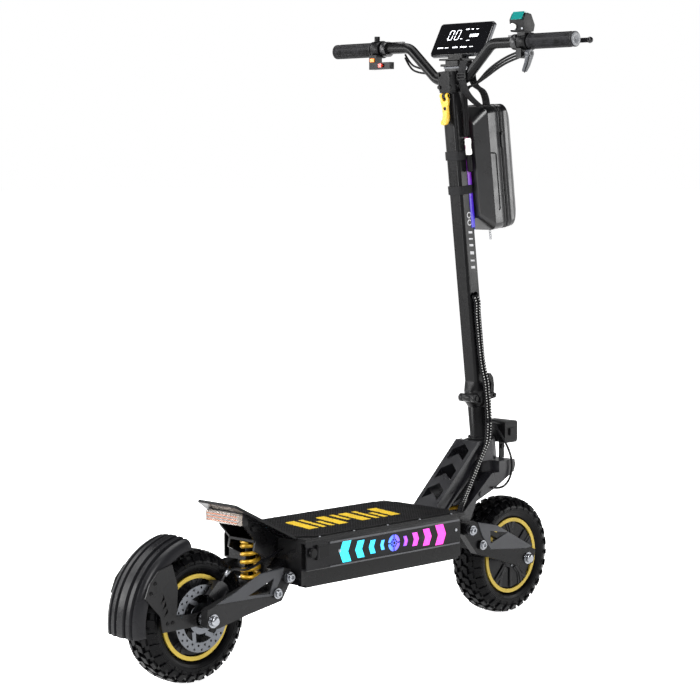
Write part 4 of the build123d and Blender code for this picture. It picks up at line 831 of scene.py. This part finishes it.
for a in (-34, -15):
    for b in (-11.5, 11.5):
        mark(a + 0.12 * b, b + 9, 8.5, 1.3)
    for da in (-5.4, 5.4):
        for db in (-6, 6):
            mark(a + da + 0.12 * db, db + 9, 1.3, 9.6)
for k in range(7):
    mark(22 + 3.4 * k, 6, 2.2, 7, 0.3)
for a, b, w, h in ((8, 22, 9, 2.2), (22, 22, 5, 2.2), (-1, -1, 5, 1.6), (20, -6, 8, 1.4),
                   (-52, -22, 16, 2.2), (-34, -22, 10, 1.2), (-10, -22, 14, 2.4),
                   (14, -22, 18, 2.4), (36, -22, 10, 1.2), (36, 22, 6, 1.4)):
    mark(a, b, w, h)
lit.make("DisplaySegments", "stem", "screen_glass", material=screenWhite, smooth=False)
print("stage: display made")

# Stem hook: forked plate with a square hole and a curled tip
hookSize = {"halfThick": 2.6, "forward": -25.85, "curl": 0.02}
hookSpot = upStem(gripZ - 103)
hookShape = [(-11, 4.4), (-8, 6), (-4.6, 4.4), (-4.6, -9), (0, -12), (4.6, -9), (4.6, 4.4), (8, 6),
             (11, 4.4), (11, -12), (8, -24), (7.5, -42), (9, -50), (12, -55), (10, -60), (2, -62),
             (-6, -60), (-9, -54), (-8, -44), (-8, -24), (-11, -12)]
hook = Mesh()
loops = []
for level in (-hookSize["halfThick"], hookSize["halfThick"]):
    loop = []
    for y, t in hookShape:
        curl = -hookSize["curl"] * max(0.0, -38 - t) ** 2
        loop.append(onStem(hookSize["forward"] + level + curl * 0.6, y, hookSpot + t))
    loops.append(loop)
hook.put(*rings(loops))
for y in (-7.8, 7.8):
    hook.put(*lathe(disc(3.2, 4.6), onStem(hookSize["forward"], y, hookSpot), (0, 1, 0), 24))
made = hook.make("ForkedStemHook", "hook", "hook_yellow", smooth=False, rounding=0.8)
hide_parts("stem_hook")
holeSpot = onStem(-28.6, 0, hookSpot - 27)
single(slab(roundRect(7, 7, 0.8), holeSpot, (0, -1, 0), along, -0.1, 0.15), "HookSquareHole",
       "hook", "black_plastic", smooth=False)

# Fender: broad ribs on a rolled shell, on plates with stamped chevrons
fenderSize = {"start": 100, "sweep": 87, "wall": 3.0, "steps": 48}
shellHalf = [(0, 163.0), (8.5, 163.0), (11, 157.5), (14.5, 157.0), (17, 162.2), (26, 161.6),
             (28.5, 156.0), (32, 155.4), (34.5, 160.0), (41.5, 158.0), (45.5, 154.0),
             (47.6, 148.0), (48, 139.5)]
skin = [(-y, r) for y, r in shellHalf[::-1]] + shellHalf[1:]
wall = fenderSize["wall"]
skin += [(y * 0.945, r - wall) for y, r in shellHalf[::-1]]
skin += [(-y * 0.945, r - wall) for y, r in shellHalf[1:]]
loops = []
last = fenderSize["steps"]
for k in range(last + 1):
    turn = math.radians(fenderSize["start"] + fenderSize["sweep"] * k / last)
    lip = 1.0 if 0 < k < last else 0.993
    loops.append([onWheel(rearX, turn, r * lip, y) for y, r in skin])
made = single(rings(loops), "RibbedFender", "rear_arm", "fender_plastic", rounding=0.5)
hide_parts("rear_fender")
holder = Mesh()
stamps = Mesh()
for side in (-1, 1):
    low, high = sorted((side * 48.2, side * 51.5))
    shape = [(-131, 84), (-110, 106), (-76, 115), (-62, 70), (-66, 15), (-12, 14), (-6, 8),
             (-6, -10), (-12, -12), (-100, -12), (-106, 20), (-142, 58)]
    holder.put(*rings([[(rearX + a, y, axleZ + b) for a, b in shape] for y in (low, high)]))
    holder.put(*lathe([(0, 12.2), (3.3, 12.2), (3.3, 18), (0, 18)], (rearX, low, axleZ),
                      (0, 1, 0), 40, closed=True))
    for a, b in ((-118, 84), (-128, 66), (-88, 4), (-76, 4)):
        stamps.put(*lathe([(0, 0.1), (0, 4), (1.6, 3.6), (2.4, 2.2), (1.4, 2.0), (1.4, 0.1)],
                          (rearX + a, side * 51.5, axleZ + b), (0, side, 0), 18))
    for k in range(3):
        a, b = -96 + 4 * k, 52 - 13 * k
        chevron = [(a - 8, b - 6), (a, b), (a - 2, b + 8), (a - 2, b + 4), (a, b - 4),
                   (a - 9, b - 10)]
        stamps.put(*rings([[(rearX + p, y, axleZ + q) for p, q in chevron]
                           for y in sorted((side * 51.3, side * 51.9))]))
holder.make("FenderPlates", "rear_arm", "frame_black", smooth=False, rounding=0.5)
stamps.make("FenderScrews", "rear_arm", "black_plastic", smooth=False, rounding=0.2)
print("stage: hook and fender made")

# Stem light strip, kick plate print, tail reflector, switches and screws
strip = Mesh()
strip.put(*rings([[onStem(a, b, s) for a, b in ((18.4, -15), (21.4, -14), (21.4, 14), (18.4, 15))]
                  for s in (bagLow + 6, bagHigh - 8)]))
for side in (-1, 1):
    near, far = sorted((side * 18.3, side * 19.4))
    strip.put(*rings([[onStem(a, b, s) for a, b in ((6, near), (17, near), (17, far), (6, far))]
                      for s in (bagLow + 12, bagHigh - 20)]))
strip.make("StemLightStrip", "stem", "light_strip", material=ledStem, smooth=False)

gripIn = barHalf - gripSize["length"]
single(slab(roundRect(12, 8, 1.5), (barX - 22, gripIn - 15, gripZ - 24), (0, -1, 0), (0, 0, 1),
            0, 3.0), "OrangeSwitch", "stem", "black_plastic", material=orangeAbs, rounding=0.5)
reflector = Mesh()
riseX, riseZ = deckRear - 126, deckTop + 72
for z in (-24, -30, -36):
    reflector.put(*slab(roundRect(88, 2.2, 1), (riseX + 12.8, 0, riseZ + z), (0, -1, 0), (0, 0, 1),
                        0, 0.5))
reflector.make("TailReflector", "chassis", "tail_lens", material=reflectOrange, smooth=False)

plateMarks = Mesh()
slope = Vector((deckRear - riseX - 1, 0, deckTop - riseZ - 2))
for k in range(6):
    for way in (-1, 1):
        a = 26 + 14 * k
        spot = Vector((riseX + 1, 0, riseZ + 2)) + slope.normalized() * a
        corners = [(0, way * 8), (8, way * 8), (20, way * (26 + 3 * k)), (12, way * (26 + 3 * k))]
        plateMarks.put(*slab(corners, spot, slope, (0, 1, 0), 0.02, 0.25))
plateMarks.make("KickPlatePrint", "chassis", "frame_black", material=kickPrint, smooth=False)

screws = Mesh()
for y in (-197, -215):
    for z in (26, 50):
        screws.put(*lathe([(-0.5, 0.1), (-0.5, 2.4), (0.9, 2.4), (1.3, 1.7), (1.3, 1.1), (0.4, 1.0),
                           (0.4, 0.1)], (barX - 19.6 if z < 40 else barX - 18.6, y, gripZ + z),
                          (-1, 0, 0), 12))
screws.make("PodScrews", "stem", "bolt_steel", rounding=0.15)

thumb = Vector((barX - 8, -229, gripZ - 25))
path = route([thumb + Vector(p) for p in ((0, 2, -6), (-6, 4, -22), (-16, 3, -40), (-22, -2, -38),
                                          (-16, -5, -20), (-8, -3, -4))])
single(tube(path, 1.1, 8), "ThumbWire", "throttle", "black_rubber")
print("stage: small parts made")

# Cables along the bar, brake hoses and connectors
cableSize = {"right": 2.4, "left": 2.2, "hose": 2.5}
barCables = Mesh()
cableEnd = upStem(1068.5)


def cable(mesh, points, radius):
    mesh.put(*tube(route(points), radius, 10))


for k in (-1, 0, 1):
    fan = 6 + 5.6 * k
    cable(barCables, [(barX + 2, 26.6 - gripIn, gripZ - 24 + 6 * k),
                      (barX + 3, 58 - gripIn, gripZ - 31 + 6 * k),
                      (barX + 6, 93 - gripIn, gripZ - 44 + 6 * k),
                      (barX + 9, 128 - gripIn, gripZ - 62 + 6.2 * k),
                      (barX + 9 + 6.5 * k, -62, barLow.z - 12 + 3 * k),
                      (barX + 11 + 6.5 * k, -29.6, barLow.z - 18),
                      onStem(fan + 2, -25.5, cableEnd + 34),
                      onStem(fan, -25, cableEnd - 18)],
          cableSize["right"])
for shift in (0, 7):
    cable(barCables, [(barX + 17, gripIn - 76, gripZ - 12 - shift),
                      (barX + 16, gripIn - 92, gripZ - 34 - 1.4 * shift),
                      (barX + 17, gripIn - 116, gripZ - 43 - 1.4 * shift),
                      (barX + 19, gripIn - 142, gripZ - 47 - 1.2 * shift),
                      (barX + 21, gripIn - 168, barLow.z + 4 - shift),
                      (barX + 22, 36, barLow.z - 18 - shift),
                      onStem(8 - shift, 26, upStem(1122.5)),
                      onStem(6 - shift, 20.9, upStem(1090.5))],
          cableSize["left"])
barCables.put(*lathe([(0, 0.2), (0, 4.2), (3, 6), (33, 6), (36, 4), (36, 0.2)],
                     onStem(6, -27, cableEnd - 56.4), -along, 20))
made = barCables.make("BarCables", "stem", "black_rubber")
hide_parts("bar_cables")
profile = [(0, 0.2), (0, 5.4), (2, 7), (12, 7), (13, 6), (23, 6), (24, 7), (34, 7), (35.6, 5),
           (35.6, 0.2)]
single(lathe(profile, onStem(6, -27.5, cableEnd - 20.4), -along, 20), "CableConnector", "stem",
       "black_rubber", material=looks["button_white"])

frontHose, rearHose = Mesh(), Mesh()
cable(frontHose, [onStem(*spot) for spot in ((9, -33, -62), (16, -46, -88), (28, -54, -120),
                                             (36, -55.5, -150), (31, -55.5, -180), (12, -55, -200),
                                             (-14, -54.5, -203), (-34, -53.4, -196))],
      cableSize["hose"])
made = frontHose.make("FrontBrakeHose", "steering", "cable_sleeve")
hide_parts("column_loom")
cable(rearHose, [(-239.1, -52, 238), (-250.5, -52.5, 236), (-262.5, -53, 231), (-280, -52.6, 225),
                 (-298, -52, 220.6)], cableSize["hose"])
made = rearHose.make("RearBrakeHose", None, "cable_sleeve")
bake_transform(made)
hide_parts("chassis_looms")
path = [(rearX + a, y, axleZ + b)
        for a, y, b in ((59, -47, 75.4), (65, -47.2, 79.6), (71, -47.4, 83.8))]
single(tube(path, 4.9, 14), "HoseFerrule", "rear_arm", "bolt_steel")
print("stage: cables made")

# Bolts on the arm pivots, side panel trim with a painted highlight, light ring spokes, stem print
# and bag pull
caps = {"rear_arm": ((-282.5, 160.0), 85.0), "front_arm": ((323.5, 179.0), 85.0),
        "chassis": ((-253.5, 189.0), 90.4), "steering": ((284.5, 216.0), 90.4)}
pivotHead = [(-0.4, 0.2), (-0.4, 10.4), (1.2, 10.4), (1.4, 7.8), (5.0, 7.6), (6.0, 6.6),
             (6.0, 3.8), (3.0, 3.6), (3.0, 0.2)]
for body, ((x, z), out) in caps.items():
    bolt = Mesh()
    for side in (-1, 1):
        bolt.put(*lathe(pivotHead, (x, side * out, z), (0, side, 0), 36))
    bolt.make(f"{body}PivotBolts", body, "bolt_steel", rounding=0.3)

# Trim strips at the top rail edge and the skirt ledge; their lighter grey is a painted highlight
trim = Mesh()
for side in (-1, 1):
    near, far = sorted((side * 119.8, side * 121.8))
    for low, high in ((249.4, 253.4), (202.4, 205.2)):
        shape = [(near, low), (far, low + 0.5), (far, high - 0.5), (near, high)]
        trim.put(*rings([[(x, y, z) for y, z in shape] for x in (-176, 206)]))
trim.make("PanelTrimPaintedHighlight", "chassis", "panel_grey", material=trimHighlightGrey, smooth=False)

spokes = Mesh()
ringX, ringZ = 9.0, 227.5
for side in (-1, 1):
    spot = (ringX, side * 119.9, ringZ)
    hubRing = [(0, 3.4), (0.5, 3.4), (0.5, 5.0), (0, 5.0)]
    spokes.put(*lathe(hubRing, spot, (0, side, 0), 32, closed=True))
    for turn in angles(8):
        way = Vector((math.cos(turn), 0, math.sin(turn)))
        spokes.put(*tube([Vector(spot) + way * r for r in (5.6, 7.6, 9.4)], 0.75, 6))
spokes.make("LightRingSpokes", "chassis", "light_strip", smooth=False)

badge = Mesh()
for s in (bagLow + 40, bagLow + 24):
    badge.put(*lathe([(0, 4.6), (0.15, 4.6), (0.15, 6.8), (0, 6.8)], onStem(1, -18.3, s),
                     (0, -1, 0), 32, closed=True))
for run, size in ((6, 11), (-9, 8), (-22, 11), (-38, 14), (-56, 9), (-70, 12)):
    shape = ((-5, 0), (7, 2), (7, size * 0.6), (-5, size * 0.45))
    badge.put(*rings([[onStem(a, y, bagLow + run - b) for a, b in shape] for y in (-18.3, -18.45)]))
badge.make("StemPrint", "stem", "frame_black", material=paleGrey, smooth=False)

chain = Mesh()
for k in range(5):
    spot = onStem(bagZip - 1, 0, bagLow - 2.5 - 5.2 * k)
    across = (1, 0, 0) if k % 2 else (0, 1, 0)
    chain.put(*lathe(disc(0.6, 3.2, 2.0), spot, across, 16, closed=True))
chain.make("BagPullChain", "stem", "bolt_steel")
bracket = Mesh()
levels = ((1201.2, 1206.0, 303, 345, 27), (1206.0, 1214.0, 311, 338, 20),
          (1214.0, 1218.0, 304, 350, 32), (1218.0, 1227.0, 322, 344, 22))
for low, high, back, front, wide in levels:
    bracket.put(*slab(roundRect(front - back, 2 * wide, 4), ((front + back) / 2, 0, 0), (1, 0, 0),
                      (0, 1, 0), low, high))
bracket.make("DisplayBracket", "stem", "black_plastic", smooth=False, rounding=0.8)
print("stage: details made")

# Floor, light and camera
paleFloor, _, floorShader = blank("PaleStudioFloor")
fill(floorShader, {"Base Color": linear("#F2F2F2"), "Roughness": 0.9, "Specular IOR Level": 0.0,
                   "Emission Color": linear("#FFFFFF"), "Emission Strength": 0.94})
floorData = bpy.data.meshes.new("Floor")
reach = 90
corners = [(-reach, -reach), (reach, -reach), (reach, reach), (-reach, reach)]
floorData.from_pydata([(a, b, -0.0005) for a, b in corners], [], [(0, 1, 2, 3)])
floorData.materials.append(paleFloor)
floor = addObject("Floor", floorData)

world = bpy.data.worlds.new("Studio")
world.use_nodes = True
sky = world.node_tree
direction = add(sky, "SeparateXYZ", {"Vector": add(sky, "TexCoord").outputs["Generated"]})
height = add(sky, "MapRange", {"Value": direction.outputs["Z"], "From Min": 0.10,
                               "From Max": 0.24, "To Min": 1.0, "To Max": 0.07})
sky.links.new(height.outputs["Result"], sky.nodes["Background"].inputs["Color"])
fill(sky.nodes["Background"], {"Strength": 1.0})
bpy.context.scene.world = world
for name, place, size, power in (("KeyLight", (-3.0, -2.2, 3.4), 2.0, 260),
                                 ("SideLight", (3.39, -2.58, 1.08), 1.5, 62),
                                 ("LeftLight", (-3.2, 2.6, 1.5), 1.8, 150),
                                 ("TopLight", (0.0, 0.6, 4.2), 2.4, 140),
                                 ("BackLight", (-1.0, 3.6, 2.4), 2.0, 70)):
    data = bpy.data.lights.new(name, "AREA")
    data.size = size
    data.energy = power
    lamp = addObject(name, data)
    lamp.location = place
    aim = Vector((0.1, 0, 0.6)) - Vector(place)
    lamp.rotation_euler = aim.to_track_quat("-Z", "Y").to_euler()

lens = bpy.data.cameras.new("Camera")
lens.lens, lens.sensor_width = 108.68, 36.0
camera = addObject("Camera", lens)
camera.location = (-3.0703, -3.0328, 0.9759)
heading, dip = math.radians(44.62), math.radians(4.80)
level = math.cos(dip)
look = Vector((math.cos(heading) * level, math.sin(heading) * level, -math.sin(dip)))
camera.rotation_euler = look.to_track_quat("-Z", "Y").to_euler()
bpy.context.scene.camera = camera
bpy.context.scene.view_settings.view_transform = "Standard"

bpy.context.view_layer.update()
print("stage: scene ready")
